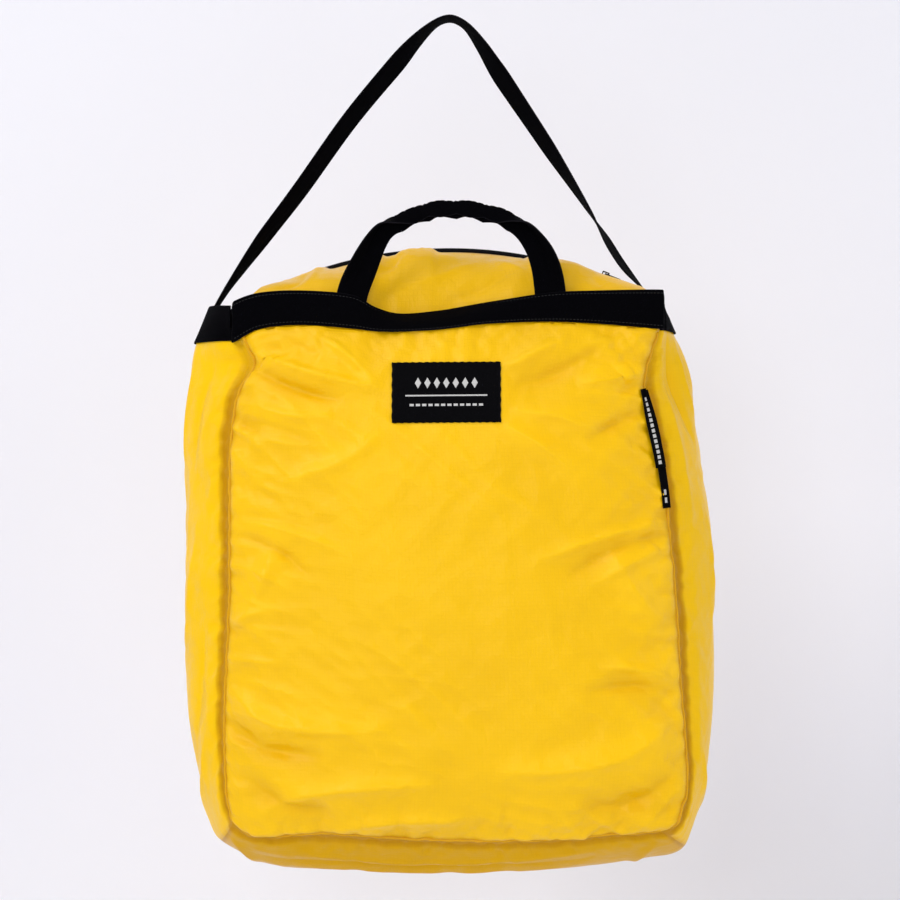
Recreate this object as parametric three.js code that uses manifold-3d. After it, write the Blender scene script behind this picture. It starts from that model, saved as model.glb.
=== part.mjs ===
// Foldable nylon tote bag, hanging from its shoulder strap.
//
// Frame, in millimetres: the origin is the underside of the shoulder strap's top, where a
// peg or a hand holds the bag. +X is to the bag's left-to-right as seen from its front,
// -Y is the front, +Z is up.
//
// Two puffed fabric panels are joined by a gusset that runs down one side, along the base
// and up the other side. Webbing edges the mouth, a domed two-panel closure with an arched
// zip covers it, and each panel carries a webbing handle. The shoulder strap is sewn inside
// the two side bands.

import * as THREE from "three";
import Module from "manifold-3d";
import { mergeVertices } from "three/addons/utils/BufferGeometryUtils.js";

// ---------------------------------------------------------------- driving dimensions

const FABRIC = 1.2; // thickness of a fabric solid, seam turnings included
const GAP = 0.3; // clearance between pieces that touch

const SEAM_Y = 80; // the panels' seams lie this far in front of and behind mid depth
const MOUTH_HALF = 208; // half the panel width at the mouth
const FOOT_HALF = 224; // half the panel width above the base corners
const MOUTH_Z = -275; // top edge of the front and back bands
const BASE_SEAM_Z = -805; // straight seam along the base
const CORNER_R = 45; // base corners of the panels
const CROWN = 28; // how far the full panels puff out from their seams
const CROWN_POWER = 2.5; // how square the puffed shape is

const BAND_H = 38; // webbing width of the mouth bands
const BAND_T = 1.6;
const SIDE_BAND_TOP = -286; // the side bands sag a little below the front and back ones

const HANDLE_T = 2.2; // webbing thickness of the handles
const HANDLE_W = 30; // webbing width of the handles
const GRIP_W = 15; // the grip is the same webbing folded in half
const GRIP_T = 6;
const HANDLE_PIVOT_Y = 86.5; // the handles fold over the top edge of the bands here
const REAR_HANDLE_HANG = 168; // degrees from upright to hanging behind the back

const STRAP_W = 25; // webbing width of the shoulder strap
const STRAP_T = 2;
const STRAP_END_Z = -284;

const ZIP_TOP_Z = -229; // crest of the zip's arc
const ZIP_R = 423.6; // radius of the zip's arc
const ZIP_CENTRE_Z = ZIP_TOP_Z - ZIP_R;
const ZIP_HALF = 172; // the zip's tape and its fabric run this far to each side
const COIL_HALF = 144; // and its coil this far
const PARK_X = 154; // where the slider stops at each end
const COIL_W = 2.8;
const TAPE_W = 11;

const LABEL = { x: -3.5, z: -375, width: 104, height: 58, thickness: 0.8 };
const TAG = { x: 200, y: -86.4, top: -373, width: 10, front: 95, rear: 122, thickness: 0.8 };
const POCKET = { half: 90, top: -385, bottom: -575, bulge: 12 };

const YELLOW = 0xf7c51c;
const YELLOW_DEEP = 0xe0a713;
const BLACK = 0x0b0b10;
const BLACK_COIL = 0x16161a;
const METAL_BLACK = 0x1b1b1f;

// ---------------------------------------------------------------- helpers

const bag = new THREE.Group();
const wasm = await Module();
wasm.setup();

function addMesh(name, geometry, color, parent = bag, roughness = 0.8, metalness = 0) {
  const material = new THREE.MeshStandardMaterial({ color, roughness, metalness });
  const mesh = new THREE.Mesh(geometry, material);
  mesh.name = name;
  parent.add(mesh);
  return mesh;
}

function signedVolume(geometry) {
  const position = geometry.attributes.position;
  const index = geometry.index;
  const corner = [new THREE.Vector3(), new THREE.Vector3(), new THREE.Vector3()];
  let volume = 0;
  for (let i = 0; i < index.count; i += 3) {
    corner.forEach((point, k) => point.fromBufferAttribute(position, index.getX(i + k)));
    volume += corner[0].dot(corner[1].cross(corner[2])) / 6;
  }
  return volume;
}

function turnInsideOut(geometry) {
  const index = geometry.index;
  for (let i = 0; i < index.count; i += 3) {
    const second = index.getX(i + 1);
    index.setX(i + 1, index.getX(i + 2));
    index.setX(i + 2, second);
  }
}

// A closed sheet with a thickness: place(u, v, w) gives a point for u and v along the sheet
// and w through it, each from 0 to 1.
function sheetSolid(stepsU, stepsV, place) {
  const geometry = new THREE.BoxGeometry(1, 1, 1, stepsU, stepsV, 1);
  const position = geometry.attributes.position;
  for (let i = 0; i < position.count; i += 1) {
    const u = position.getX(i) + 0.5;
    const v = position.getY(i) + 0.5;
    const w = position.getZ(i) + 0.5;
    const point = place(u, v, w);
    position.setXYZ(i, point.x, point.y, point.z);
  }
  if (signedVolume(geometry) < 0) {
    turnInsideOut(geometry);
  }
  geometry.computeVertexNormals();
  return geometry;
}

function toManifold(geometry) {
  const bare = geometry.clone();
  bare.deleteAttribute("normal");
  bare.deleteAttribute("uv");
  const merged = mergeVertices(bare, 1e-4);
  return new wasm.Manifold(
    new wasm.Mesh({
      numProp: 3,
      vertProperties: new Float32Array(merged.attributes.position.array),
      triVerts: new Uint32Array(merged.index.array),
    }),
  );
}

function joined(...geometries) {
  const solid = geometries.map(toManifold).reduce((sum, next) => sum.add(next));
  const mesh = solid.getMesh();
  const geometry = new THREE.BufferGeometry();
  geometry.setAttribute("position", new THREE.BufferAttribute(mesh.vertProperties, 3));
  geometry.setIndex(new THREE.BufferAttribute(mesh.triVerts, 1));
  geometry.computeVertexNormals();
  return geometry;
}

const { lerp, smoothstep, degToRad, clamp } = THREE.MathUtils;

// ---------------------------------------------------------------- outline of the panels

// The seam line that both panels share: down the left side, along the base, up the right
// side. Its y coordinate is the bag's z.
const outline = new THREE.Path();
outline.moveTo(-MOUTH_HALF, MOUTH_Z);
outline.lineTo(-FOOT_HALF, BASE_SEAM_Z + CORNER_R);
outline.absarc(CORNER_R - FOOT_HALF, BASE_SEAM_Z + CORNER_R, CORNER_R, Math.PI, 1.5 * Math.PI, false);
outline.lineTo(FOOT_HALF - CORNER_R, BASE_SEAM_Z);
outline.absarc(FOOT_HALF - CORNER_R, BASE_SEAM_Z + CORNER_R, CORNER_R, 1.5 * Math.PI, 2 * Math.PI, false);
outline.lineTo(MOUTH_HALF, MOUTH_Z);

const SEAM_LENGTH = outline.getLength();
const SIDE_LENGTH = outline.curves[0].getLength();
const CORNER_LENGTH = outline.curves[1].getLength();
const SIDE_DROP = BASE_SEAM_Z + CORNER_R - MOUTH_Z;

// Distance along the seam at which its left side reaches a height.
const alongAtZ = (z) => (SIDE_LENGTH * (z - MOUTH_Z)) / SIDE_DROP;

const BAND_BOTTOM_ALONG = alongAtZ(SIDE_BAND_TOP - BAND_H);
const CORNER_MID = SIDE_LENGTH + CORNER_LENGTH / 2;

// How far the gusset puffs out at mid depth, from the left mouth corner round to the right.
const BULGE_STATIONS = [
  { along: 0, bulge: 22 },
  { along: BAND_BOTTOM_ALONG, bulge: 45 },
  { along: SIDE_LENGTH * 0.45, bulge: 50 },
  { along: SIDE_LENGTH * 0.85, bulge: 42 },
  { along: CORNER_MID, bulge: 27 },
  { along: SEAM_LENGTH / 2 - 150, bulge: 42 },
  { along: SEAM_LENGTH / 2, bulge: 45 },
  { along: SEAM_LENGTH / 2 + 150, bulge: 42 },
  { along: SEAM_LENGTH - CORNER_MID, bulge: 27 },
  { along: SEAM_LENGTH - SIDE_LENGTH * 0.85, bulge: 42 },
  { along: SEAM_LENGTH - SIDE_LENGTH * 0.45, bulge: 48 },
  { along: SEAM_LENGTH - BAND_BOTTOM_ALONG, bulge: 22 },
  { along: SEAM_LENGTH, bulge: 2 },
];

function gussetBulge(along) {
  const next = Math.max(1, BULGE_STATIONS.findIndex((station) => station.along >= along - 1e-6));
  const before = BULGE_STATIONS[next - 1];
  const after = BULGE_STATIONS[next];
  return lerp(before.bulge, after.bulge, smoothstep(along, before.along, after.along));
}

// A point of the gusset's skin: along the seam, at depth y, moved outward by lift.
function gussetPoint(along, y, lift) {
  const t = clamp(along / SEAM_LENGTH, 0, 1);
  const seam = outline.getPointAt(t);
  const tangent = outline.getTangentAt(t);
  const outward = gussetBulge(along) * (1 - (y / SEAM_Y) ** 2) + lift;
  return new THREE.Vector3(seam.x + tangent.y * outward, y, seam.y - tangent.x * outward);
}

// Places along the seam from one point to another: long steps on its straights, short ones
// round its corners.
function seamStations(from, to, straightStep = 62, cornerStep = 12) {
  const bends = [SIDE_LENGTH, SIDE_LENGTH + CORNER_LENGTH];
  const breaks = [...bends, ...bends.map((bend) => SEAM_LENGTH - bend)].sort((a, b) => a - b);
  const inCorner = (along) => breaks.filter((bend) => bend < along).length % 2 === 1;
  const ends = [from, ...breaks.filter((bend) => bend > from + 1 && bend < to - 1), to];
  const stations = [from];
  for (let i = 1; i < ends.length; i += 1) {
    const length = ends[i] - ends[i - 1];
    const step = inCorner((ends[i] + ends[i - 1]) / 2) ? cornerStep : straightStep;
    const count = Math.ceil(length / step);
    for (let k = 1; k <= count; k += 1) {
      stations.push(ends[i - 1] + (length * k) / count);
    }
  }
  return stations;
}

function gussetSheet(from, to, halfDepth, thickness, lift, stepsV, straightStep = 62) {
  const stations = seamStations(from, to, straightStep);
  const last = stations.length - 1;
  return sheetSolid(last, stepsV, (u, v, w) => {
    const along = stations[Math.round(u * last)];
    return gussetPoint(along, lerp(-halfDepth, halfDepth, v), lift + (w - 0.5) * thickness);
  });
}

function panelHalfWidth(z) {
  const cornerTop = BASE_SEAM_Z + CORNER_R;
  if (z >= cornerTop) {
    return lerp(MOUTH_HALF, FOOT_HALF, (z - MOUTH_Z) / SIDE_DROP);
  }
  return FOOT_HALF - CORNER_R + Math.sqrt(Math.max(0, CORNER_R ** 2 - (cornerTop - z) ** 2));
}

// How far a panel's middle surface stands out from its seam plane.
function panelCrown(x, z) {
  const bandBottom = MOUTH_Z - BAND_H;
  if (z >= bandBottom) {
    return 0;
  }
  const across = clamp(Math.abs(x) / panelHalfWidth(z), 0, 1);
  const down = clamp((z - bandBottom) / (BASE_SEAM_Z - bandBottom), 0, 1);
  const endwise = Math.abs(2 * down - 1);
  return CROWN * (1 - across ** CROWN_POWER) * (1 - endwise ** CROWN_POWER);
}

// A panel or a patch on it. side is -1 in front and +1 behind, lift moves it outward.
function panelSheet(side, box, thickness, lift, stepsU, stepsV) {
  return sheetSolid(stepsU, stepsV, (u, v, w) => {
    const z = lerp(box.top, box.bottom, v);
    const x = lerp(box.left(z), box.right(z), u);
    return new THREE.Vector3(x, side * (SEAM_Y + panelCrown(x, z) + lift + (w - 0.5) * thickness), z);
  });
}

// ---------------------------------------------------------------- shoulder strap

function addShoulderStrap() {
  const endInset = STRAP_T / 2 + BAND_T / 2 + GAP + 1.5;
  const leftEnd = gussetPoint(alongAtZ(STRAP_END_Z), 0, -endInset);
  const rightEnd = gussetPoint(SEAM_LENGTH - alongAtZ(STRAP_END_Z), 0, -endInset);
  const crest = STRAP_T / 2;
  const left = [
    [leftEnd.x, STRAP_END_Z],
    [-221, -266],
    [-188, -220],
    [-150, -170],
    [-100, -100],
    [-50, -40],
    [-8, crest],
  ];
  const right = [
    [8, crest],
    [50, -55],
    [100, -130],
    [142, -195],
    [170, -241],
    [191, -266],
    [rightEnd.x, STRAP_END_Z],
  ];
  const legSteps = 16;
  const stations = [left, right].flatMap((points) => {
    const curve = new THREE.SplineCurve(points.map(([x, z]) => new THREE.Vector2(x, z)));
    return curve.getSpacedPoints(legSteps);
  });
  const last = stations.length - 1;
  const up = new THREE.Vector2(0, 1);

  // The two stations at the crest are level, so the strap's underside is flat over the peg.
  function normalAt(i) {
    if (i === legSteps || i === legSteps + 1) {
      return up;
    }
    const run = stations[Math.min(i + 1, last)].clone().sub(stations[Math.max(i - 1, 0)]).normalize();
    return new THREE.Vector2(-run.y, run.x);
  }

  const geometry = sheetSolid(last, 1, (u, v, w) => {
    const i = Math.round(u * last);
    const point = stations[i].clone().addScaledVector(normalAt(i), (w - 0.5) * STRAP_T);
    return new THREE.Vector3(point.x, (v - 0.5) * STRAP_W, point.y);
  });
  addMesh("shoulder_strap", geometry, BLACK);
}

// ---------------------------------------------------------------- gusset and side bands

function addGusset() {
  const fabricTop = BAND_BOTTOM_ALONG + GAP; // the fabric hangs from the side band's lower edge
  const seamGap = FABRIC / 2 + GAP;
  const halfDepth = SEAM_Y - seamGap;
  const crossGap = 0.4;
  const pieces = [
    { name: "gusset_left", from: fabricTop, to: CORNER_MID - crossGap },
    { name: "gusset_base", from: CORNER_MID + crossGap, to: SEAM_LENGTH - CORNER_MID - crossGap },
    { name: "gusset_right", from: SEAM_LENGTH - CORNER_MID + crossGap, to: SEAM_LENGTH - fabricTop },
  ];
  for (const { name, from, to } of pieces) {
    addMesh(name, gussetSheet(from, to, halfDepth, FABRIC, 0, 8), YELLOW);
  }

  const bandFrom = alongAtZ(SIDE_BAND_TOP);
  const bandTo = BAND_BOTTOM_ALONG;
  const bandHalf = SEAM_Y - 5;
  const bandStep = BAND_H / 5;
  const tailGap = 1.1; // clear of the band's curve across its depth
  const tailLift = -(BAND_T / 2 + tailGap + STRAP_T / 2);
  const tailFrom = bandFrom + 2;
  const tailTo = BAND_BOTTOM_ALONG - 2;
  const stretches = {
    left: (top, bottom) => [top, bottom],
    right: (top, bottom) => [SEAM_LENGTH - bottom, SEAM_LENGTH - top],
  };
  for (const [hand, stretch] of Object.entries(stretches)) {
    const band = gussetSheet(...stretch(bandFrom, bandTo), bandHalf, BAND_T, 0, 8, bandStep);
    addMesh(`side_band_${hand}`, band, BLACK);
    const tail = gussetSheet(...stretch(tailFrom, tailTo), STRAP_W / 2, STRAP_T, tailLift, 2, bandStep);
    addMesh(`strap_tail_${hand}`, tail, BLACK);
  }
}

// ---------------------------------------------------------------- front and back panels

function addSeamBinding(name, side) {
  const from = alongAtZ(MOUTH_Z - BAND_H) + 4;
  const inset = 3;
  const width = 8;
  const thickness = 1;
  const edge = SEAM_Y - FABRIC / 2 - 0.5;
  const stations = seamStations(from, SEAM_LENGTH - from);
  const last = stations.length - 1;
  const geometry = sheetSolid(last, 1, (u, v, w) => {
    const t = stations[Math.round(u * last)] / SEAM_LENGTH;
    const seam = outline.getPointAt(t);
    const tangent = outline.getTangentAt(t);
    const inward = inset + w * thickness;
    return new THREE.Vector3(seam.x - tangent.y * inward, side * (edge - v * width), seam.y + tangent.x * inward);
  });
  addMesh(name, geometry, YELLOW_DEEP);
}

function addPanel(face, side) {
  // Rows from the mouth down: one at the band's lower edge, then closer together round the
  // base corners.
  const bandBottom = MOUTH_Z - BAND_H;
  const rows = [MOUTH_Z - 1];
  const puffedRows = 13;
  for (let k = 0; k <= puffedRows; k += 1) {
    rows.push(lerp(bandBottom, BASE_SEAM_Z, Math.sin((k / puffedRows) * (Math.PI / 2))));
  }
  const last = rows.length - 1;
  const geometry = sheetSolid(12, last, (u, v, w) => {
    const z = rows[Math.round(v * last)];
    const x = lerp(-1, 1, u) * panelHalfWidth(z);
    return new THREE.Vector3(x, side * (SEAM_Y + panelCrown(x, z) + (w - 0.5) * FABRIC), z);
  });
  addMesh(`${face}_panel`, geometry, YELLOW);

  const bandY = SEAM_Y + FABRIC / 2 + GAP + HANDLE_T + GAP + BAND_T / 2;
  const band = new THREE.BoxGeometry(2 * MOUTH_HALF, BAND_T, BAND_H, 8, 1, 1);
  addMesh(`${face}_band`, band, BLACK).position.set(0, side * bandY, MOUTH_Z - BAND_H / 2);

  addSeamBinding(`${face}_seam_binding`, side);
}

function addLabel() {
  const box = {
    top: LABEL.z + LABEL.height / 2,
    bottom: LABEL.z - LABEL.height / 2,
    left: () => LABEL.x - LABEL.width / 2,
    right: () => LABEL.x + LABEL.width / 2,
  };
  const lift = FABRIC / 2 + 0.6 + LABEL.thickness / 2;
  addMesh("woven_label", panelSheet(-1, box, LABEL.thickness, lift, 6, 4), BLACK);
}

function addStowPocket() {
  const backGap = FABRIC + 1.4; // clear of the back panel where both curve
  const box = {
    top: POCKET.top,
    bottom: POCKET.bottom,
    left: () => -POCKET.half,
    right: () => POCKET.half,
  };
  const place = (z, x, w) => {
    const across = Math.abs(x) / POCKET.half;
    const down = clamp((box.top - z) / (box.top - box.bottom), 0, 1);
    const stand = POCKET.bulge * (1 - across ** 6) * (1 - down ** 6);
    return SEAM_Y + panelCrown(x, z) - backGap - stand + (w - 0.5) * FABRIC;
  };
  const panel = sheetSolid(12, 10, (u, v, w) => {
    const z = lerp(box.top, box.bottom, v);
    const x = lerp(box.left(), box.right(), u);
    return new THREE.Vector3(x, place(z, x, w), z);
  });
  addMesh("stow_pocket_panel", panel, YELLOW);

  const hemHeight = 12;
  const hemLift = FABRIC + 0.4;
  const hem = sheetSolid(12, 1, (u, v, w) => {
    const z = lerp(box.top - 1, box.top - 1 - hemHeight, v);
    const x = lerp(box.left() + 1, box.right() - 1, u);
    return new THREE.Vector3(x, place(z, x, w) - hemLift, z);
  });
  addMesh("stow_pocket_hem", hem, YELLOW_DEEP);
}

// ---------------------------------------------------------------- carry handles

const handleCentre = new THREE.SplineCurve(
  [
    [-94, MOUTH_Z + 1.5],
    [-85, -249],
    [-68, -227],
    [-38, -207],
    [0, -199],
    [40, -206],
    [74, -226],
    [92, -250],
    [98, MOUTH_Z + 1.5],
  ].map(([x, z]) => new THREE.Vector2(x, z)),
);

// Webbing stands flat at its two feet and is folded in half along the grip.
function handlePoint(u, v, w) {
  const point = handleCentre.getPointAt(u);
  const run = handleCentre.getTangentAt(u);
  const fold = smoothstep(Math.min(u, 1 - u), 0.16, 0.34);
  const across = (v - 0.5) * lerp(HANDLE_W, GRIP_W, fold);
  const y = (w - 0.5) * lerp(HANDLE_T, GRIP_T, fold);
  return new THREE.Vector3(point.x - run.y * across, y, Math.max(point.y + run.x * across, MOUTH_Z + 1.5));
}

function addHandle(name, side, foldDegrees) {
  const standY = SEAM_Y + FABRIC / 2 + GAP + HANDLE_T / 2;
  const pivot = new THREE.Group();
  pivot.position.set(0, side * HANDLE_PIVOT_Y, MOUTH_Z);
  pivot.rotation.x = degToRad(-side * foldDegrees);
  bag.add(pivot);
  const mesh = addMesh(name, sheetSolid(28, 2, handlePoint), BLACK, pivot);
  mesh.position.set(0, side * (standY - HANDLE_PIVOT_Y), -MOUTH_Z);
}

function addHandleTails(face, side) {
  const standY = SEAM_Y + FABRIC / 2 + GAP + HANDLE_T / 2;
  const length = BAND_H - 6;
  const feet = { left: handleCentre.getPoint(0).x, right: handleCentre.getPoint(1).x };
  for (const [hand, x] of Object.entries(feet)) {
    const tail = new THREE.BoxGeometry(HANDLE_W, HANDLE_T, length, 1, 1, 2);
    const mesh = addMesh(`${face}_handle_tail_${hand}`, tail, BLACK);
    mesh.position.set(x, side * standY, MOUTH_Z - 2 - length / 2);
  }
}

// ---------------------------------------------------------------- zipped closure

const zipZ = (x) => ZIP_CENTRE_Z + Math.sqrt(ZIP_R ** 2 - x ** 2);

function arcStrip(halfLength, yNear, yFar, thickness, steps) {
  const halfAngle = Math.asin(halfLength / ZIP_R);
  return sheetSolid(steps, 1, (u, v, w) => {
    const angle = lerp(-halfAngle, halfAngle, u);
    const radius = ZIP_R + (w - 0.5) * thickness;
    return new THREE.Vector3(radius * Math.sin(angle), lerp(yNear, yFar, v), ZIP_CENTRE_Z + radius * Math.cos(angle));
  });
}

function addClosureHalf(face, side) {
  const coilInner = 0.2;
  const coilOuter = coilInner + COIL_W;
  const tapeInner = coilOuter + 0.25;
  const tapeOuter = tapeInner + TAPE_W;
  const fabric = {
    front: SEAM_Y - 4,
    zip: tapeOuter + GAP,
    mouthHalf: MOUTH_HALF - 4,
    edgeZ: MOUTH_Z - 1,
  };

  const panel = sheetSolid(14, 6, (u, v, w) => {
    const x = lerp(-1, 1, u) * lerp(fabric.mouthHalf, ZIP_HALF, v);
    const rise = Math.sin((v * Math.PI) / 2) ** 0.9;
    const zipEdge = zipZ(clamp(x, -ZIP_HALF, ZIP_HALF));
    const z = lerp(fabric.edgeZ, zipEdge, rise) + (w - 0.5) * FABRIC;
    return new THREE.Vector3(x, side * lerp(fabric.front, fabric.zip, v), z);
  });
  addMesh(`${face}_closure_panel`, panel, YELLOW);

  const tape = arcStrip(ZIP_HALF - 4, side * tapeInner, side * tapeOuter, 0.8, 18);
  addMesh(`${face}_zip_tape`, tape, BLACK);
  const coil = arcStrip(COIL_HALF, side * coilInner, side * coilOuter, 2.2, 20);
  addMesh(`${face}_zip_coil`, coil, BLACK_COIL, bag, 0.4);
}

function addZipEnds() {
  const width = 13;
  const thickness = 1;
  const start = { x: ZIP_HALF, z: zipZ(ZIP_HALF) };
  const ends = { left: { x: -222, z: -296 }, right: { x: 200, z: -296 } };
  for (const [hand, end] of Object.entries(ends)) {
    const startX = Math.sign(end.x) * start.x;
    const geometry = sheetSolid(4, 1, (u, v, w) => {
      const z = lerp(start.z, end.z, u ** 1.4);
      return new THREE.Vector3(lerp(startX, end.x, u), (v - 0.5) * width, z + (w - 0.5) * thickness);
    });
    addMesh(`zip_end_tab_${hand}`, geometry, BLACK);
  }
}

const SLIDER = {
  length: 13,
  width: 9,
  plate: 1.2,
  mouth: 3.2, // clear height between the two plates
  post: 2,
  bailHalf: 3.7,
  bailBar: 1.2,
  bailWidth: 2,
  bailClear: 2.6,
};

function sliderPlate(z) {
  const { length, width } = SLIDER;
  const shape = new THREE.Shape();
  shape.moveTo(-length / 2, -width * 0.36);
  shape.lineTo(-length / 2, width * 0.36);
  shape.quadraticCurveTo(0, width * 0.4, length * 0.3, width / 2);
  shape.quadraticCurveTo(length / 2, width * 0.45, length / 2, 0);
  shape.quadraticCurveTo(length / 2, -width * 0.45, length * 0.3, -width / 2);
  shape.quadraticCurveTo(0, -width * 0.4, -length / 2, -width * 0.36);
  const geometry = new THREE.ExtrudeGeometry(shape, { depth: SLIDER.plate, bevelEnabled: false, curveSegments: 3 });
  return geometry.translate(0, 0, z);
}

function sliderBail(base) {
  const { bailHalf, bailBar, bailWidth, bailClear } = SLIDER;
  const top = bailClear + bailBar;
  const sunk = 0.2;
  const shape = new THREE.Shape();
  shape.moveTo(-bailHalf, -sunk);
  shape.lineTo(-bailHalf, top - bailBar / 2);
  shape.lineTo(-bailHalf + bailBar / 2, top);
  shape.lineTo(bailHalf - bailBar / 2, top);
  shape.lineTo(bailHalf, top - bailBar / 2);
  shape.lineTo(bailHalf, -sunk);
  shape.lineTo(bailHalf - bailBar, -sunk);
  shape.lineTo(bailHalf - bailBar, bailClear);
  shape.lineTo(-bailHalf + bailBar, bailClear);
  shape.lineTo(-bailHalf + bailBar, -sunk);
  const geometry = new THREE.ExtrudeGeometry(shape, { depth: bailWidth, bevelEnabled: false });
  geometry.rotateX(Math.PI / 2);
  return geometry.translate(0, bailWidth / 2, base);
}

function addZipSlider() {
  const upper = SLIDER.mouth / 2;
  const post = new THREE.CylinderGeometry(SLIDER.post / 2, SLIDER.post / 2, SLIDER.mouth + 0.4, 8);
  post.rotateX(Math.PI / 2);
  post.translate(SLIDER.length * 0.28, 0, 0);
  const body = joined(sliderPlate(upper), sliderPlate(-upper - SLIDER.plate), post, sliderBail(upper + SLIDER.plate));

  const parked = new THREE.Group();
  parked.position.z = ZIP_CENTRE_Z;
  parked.rotation.y = Math.asin(PARK_X / ZIP_R);
  bag.add(parked);
  addMesh("zip_slider", body, METAL_BLACK, parked, 0.45, 0.6).position.z = ZIP_R;

  const pullLength = 16;
  const pullHalf = 3.5;
  const bar = 0.8;
  const windowEnd = 5.6;
  const windowHalf = 1.9;
  const shape = new THREE.Shape();
  shape.moveTo(-bar, -pullHalf);
  shape.lineTo(pullLength - 3, -pullHalf + 0.6);
  shape.quadraticCurveTo(pullLength, -pullHalf + 0.8, pullLength, 0);
  shape.quadraticCurveTo(pullLength, pullHalf - 0.8, pullLength - 3, pullHalf - 0.6);
  shape.lineTo(-bar, pullHalf);
  const window = new THREE.Path();
  window.moveTo(bar, -windowHalf);
  window.lineTo(bar, windowHalf);
  window.lineTo(windowEnd, windowHalf);
  window.lineTo(windowEnd, -windowHalf);
  shape.holes.push(window);
  const thickness = 1.2;
  const pull = new THREE.ExtrudeGeometry(shape, { depth: thickness, bevelEnabled: false, curveSegments: 4 });
  pull.translate(0, 0, -thickness / 2);
  const pivotHeight = upper + SLIDER.plate + SLIDER.bailClear / 2;
  addMesh("zip_pull", pull, METAL_BLACK, parked, 0.45, 0.6).position.z = ZIP_R + pivotHeight;
}

// ---------------------------------------------------------------- side tag

function addSideTag() {
  const leaves = [
    { name: "tag_front_leaf", length: TAG.front, y: TAG.y - 1.2 },
    { name: "tag_rear_leaf", length: TAG.rear, y: TAG.y },
  ];
  for (const { name, length, y } of leaves) {
    const drift = length * 0.08; // the ribbon hangs slightly outward
    const geometry = sheetSolid(1, 8, (u, v, w) => {
      const x = TAG.x + (u - 0.5) * TAG.width + drift * v;
      return new THREE.Vector3(x, y - w * TAG.thickness, TAG.top - v * length);
    });
    addMesh(name, geometry, BLACK);
  }
}

// ---------------------------------------------------------------- assembly

addShoulderStrap();
addGusset();
for (const [face, side] of [["front", -1], ["back", 1]]) {
  addPanel(face, side);
  addHandleTails(face, side);
  addClosureHalf(face, side);
}
addLabel();
addStowPocket();
addHandle("front_handle", -1, 0);
addHandle("back_handle", 1, REAR_HANDLE_HANG);
addZipEnds();
addZipSlider();
addSideTag();

export default bag;
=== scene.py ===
import math

import bpy
import numpy as np
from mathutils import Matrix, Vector, noise
from mathutils.bvhtree import BVHTree


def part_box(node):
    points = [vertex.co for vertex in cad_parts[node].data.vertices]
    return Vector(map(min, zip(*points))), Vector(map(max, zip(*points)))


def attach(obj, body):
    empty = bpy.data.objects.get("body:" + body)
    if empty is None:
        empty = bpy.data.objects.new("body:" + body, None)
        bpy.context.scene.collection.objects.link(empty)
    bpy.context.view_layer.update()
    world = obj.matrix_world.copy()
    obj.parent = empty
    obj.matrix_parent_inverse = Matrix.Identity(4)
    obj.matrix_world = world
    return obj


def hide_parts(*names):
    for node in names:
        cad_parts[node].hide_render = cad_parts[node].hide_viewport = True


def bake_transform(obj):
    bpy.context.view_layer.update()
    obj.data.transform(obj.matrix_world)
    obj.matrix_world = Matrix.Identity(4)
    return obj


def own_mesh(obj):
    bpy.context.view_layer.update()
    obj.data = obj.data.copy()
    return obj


# A foldable nylon tote bag hanging from its shoulder strap: the looks, built around the
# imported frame. Shapes are in millimetres in the row frame (origin under the top of the
# strap, +X right, -Y front, +Z up) and become metres when a mesh is made.

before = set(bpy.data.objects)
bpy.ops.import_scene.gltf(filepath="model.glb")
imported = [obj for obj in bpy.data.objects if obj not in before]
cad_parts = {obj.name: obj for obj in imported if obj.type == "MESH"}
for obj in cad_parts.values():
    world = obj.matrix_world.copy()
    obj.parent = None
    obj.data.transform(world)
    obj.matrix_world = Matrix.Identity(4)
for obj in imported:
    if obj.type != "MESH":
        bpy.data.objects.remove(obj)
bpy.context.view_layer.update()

MM = 0.001


def box(node):
    low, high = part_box(node)
    return np.array(low) / MM, np.array(high) / MM


# ---------------------------------------------------------------- driving dimensions

SEAM_Y = 80.0  # the panels' seams, in front of and behind mid depth
MOUTH_Z = box("front_band")[1][2]
BAND_H = MOUTH_Z - box("front_band")[0][2]
MOUTH_HALF = box("front_band")[1][0]
BASE_SEAM_Z = box("front_panel")[0][2]
PANEL_H = MOUTH_Z - BAND_H - BASE_SEAM_Z
ZIP_TOP_Z = box("front_zip_tape")[1][2] - 0.4
ZIP_END_X = box("front_closure_panel")[0][0] + 32.0  # negative: the zip's left end
ZIP_R = 423.6
ZIP_CENTRE_Z = ZIP_TOP_Z - ZIP_R
COIL_HALF = box("front_zip_coil")[1][0]
HANDLE_PIVOT = np.array([0.0, 86.5, MOUTH_Z])
HANDLE_Y = 82.0  # the handles' webbing stands this far from mid depth

WEBBING_T = 1.6
THIN_EDGE = 0.4  # a strip is this much thinner along its edges
BAG_MIDDLE = np.array([0, 0, -540.0])
CELLS_ACROSS = 62  # cells of the simulated shell across a panel
CELLS_DOWN = 74
CELLS_DEEP = 26
FINER = 3  # the finished fabric has this many cells for each simulated one


# ---------------------------------------------------------------- lines and grids

def even(line, count):
    """count points spread evenly along a line of points."""
    line = np.asarray(line, float)
    steps = np.linalg.norm(np.diff(line, axis=0), axis=1)
    along = np.concatenate([[0], np.cumsum(steps)])
    at = np.linspace(0, along[-1], count)
    return np.stack([np.interp(at, along, column) for column in line.T], axis=1)


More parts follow.
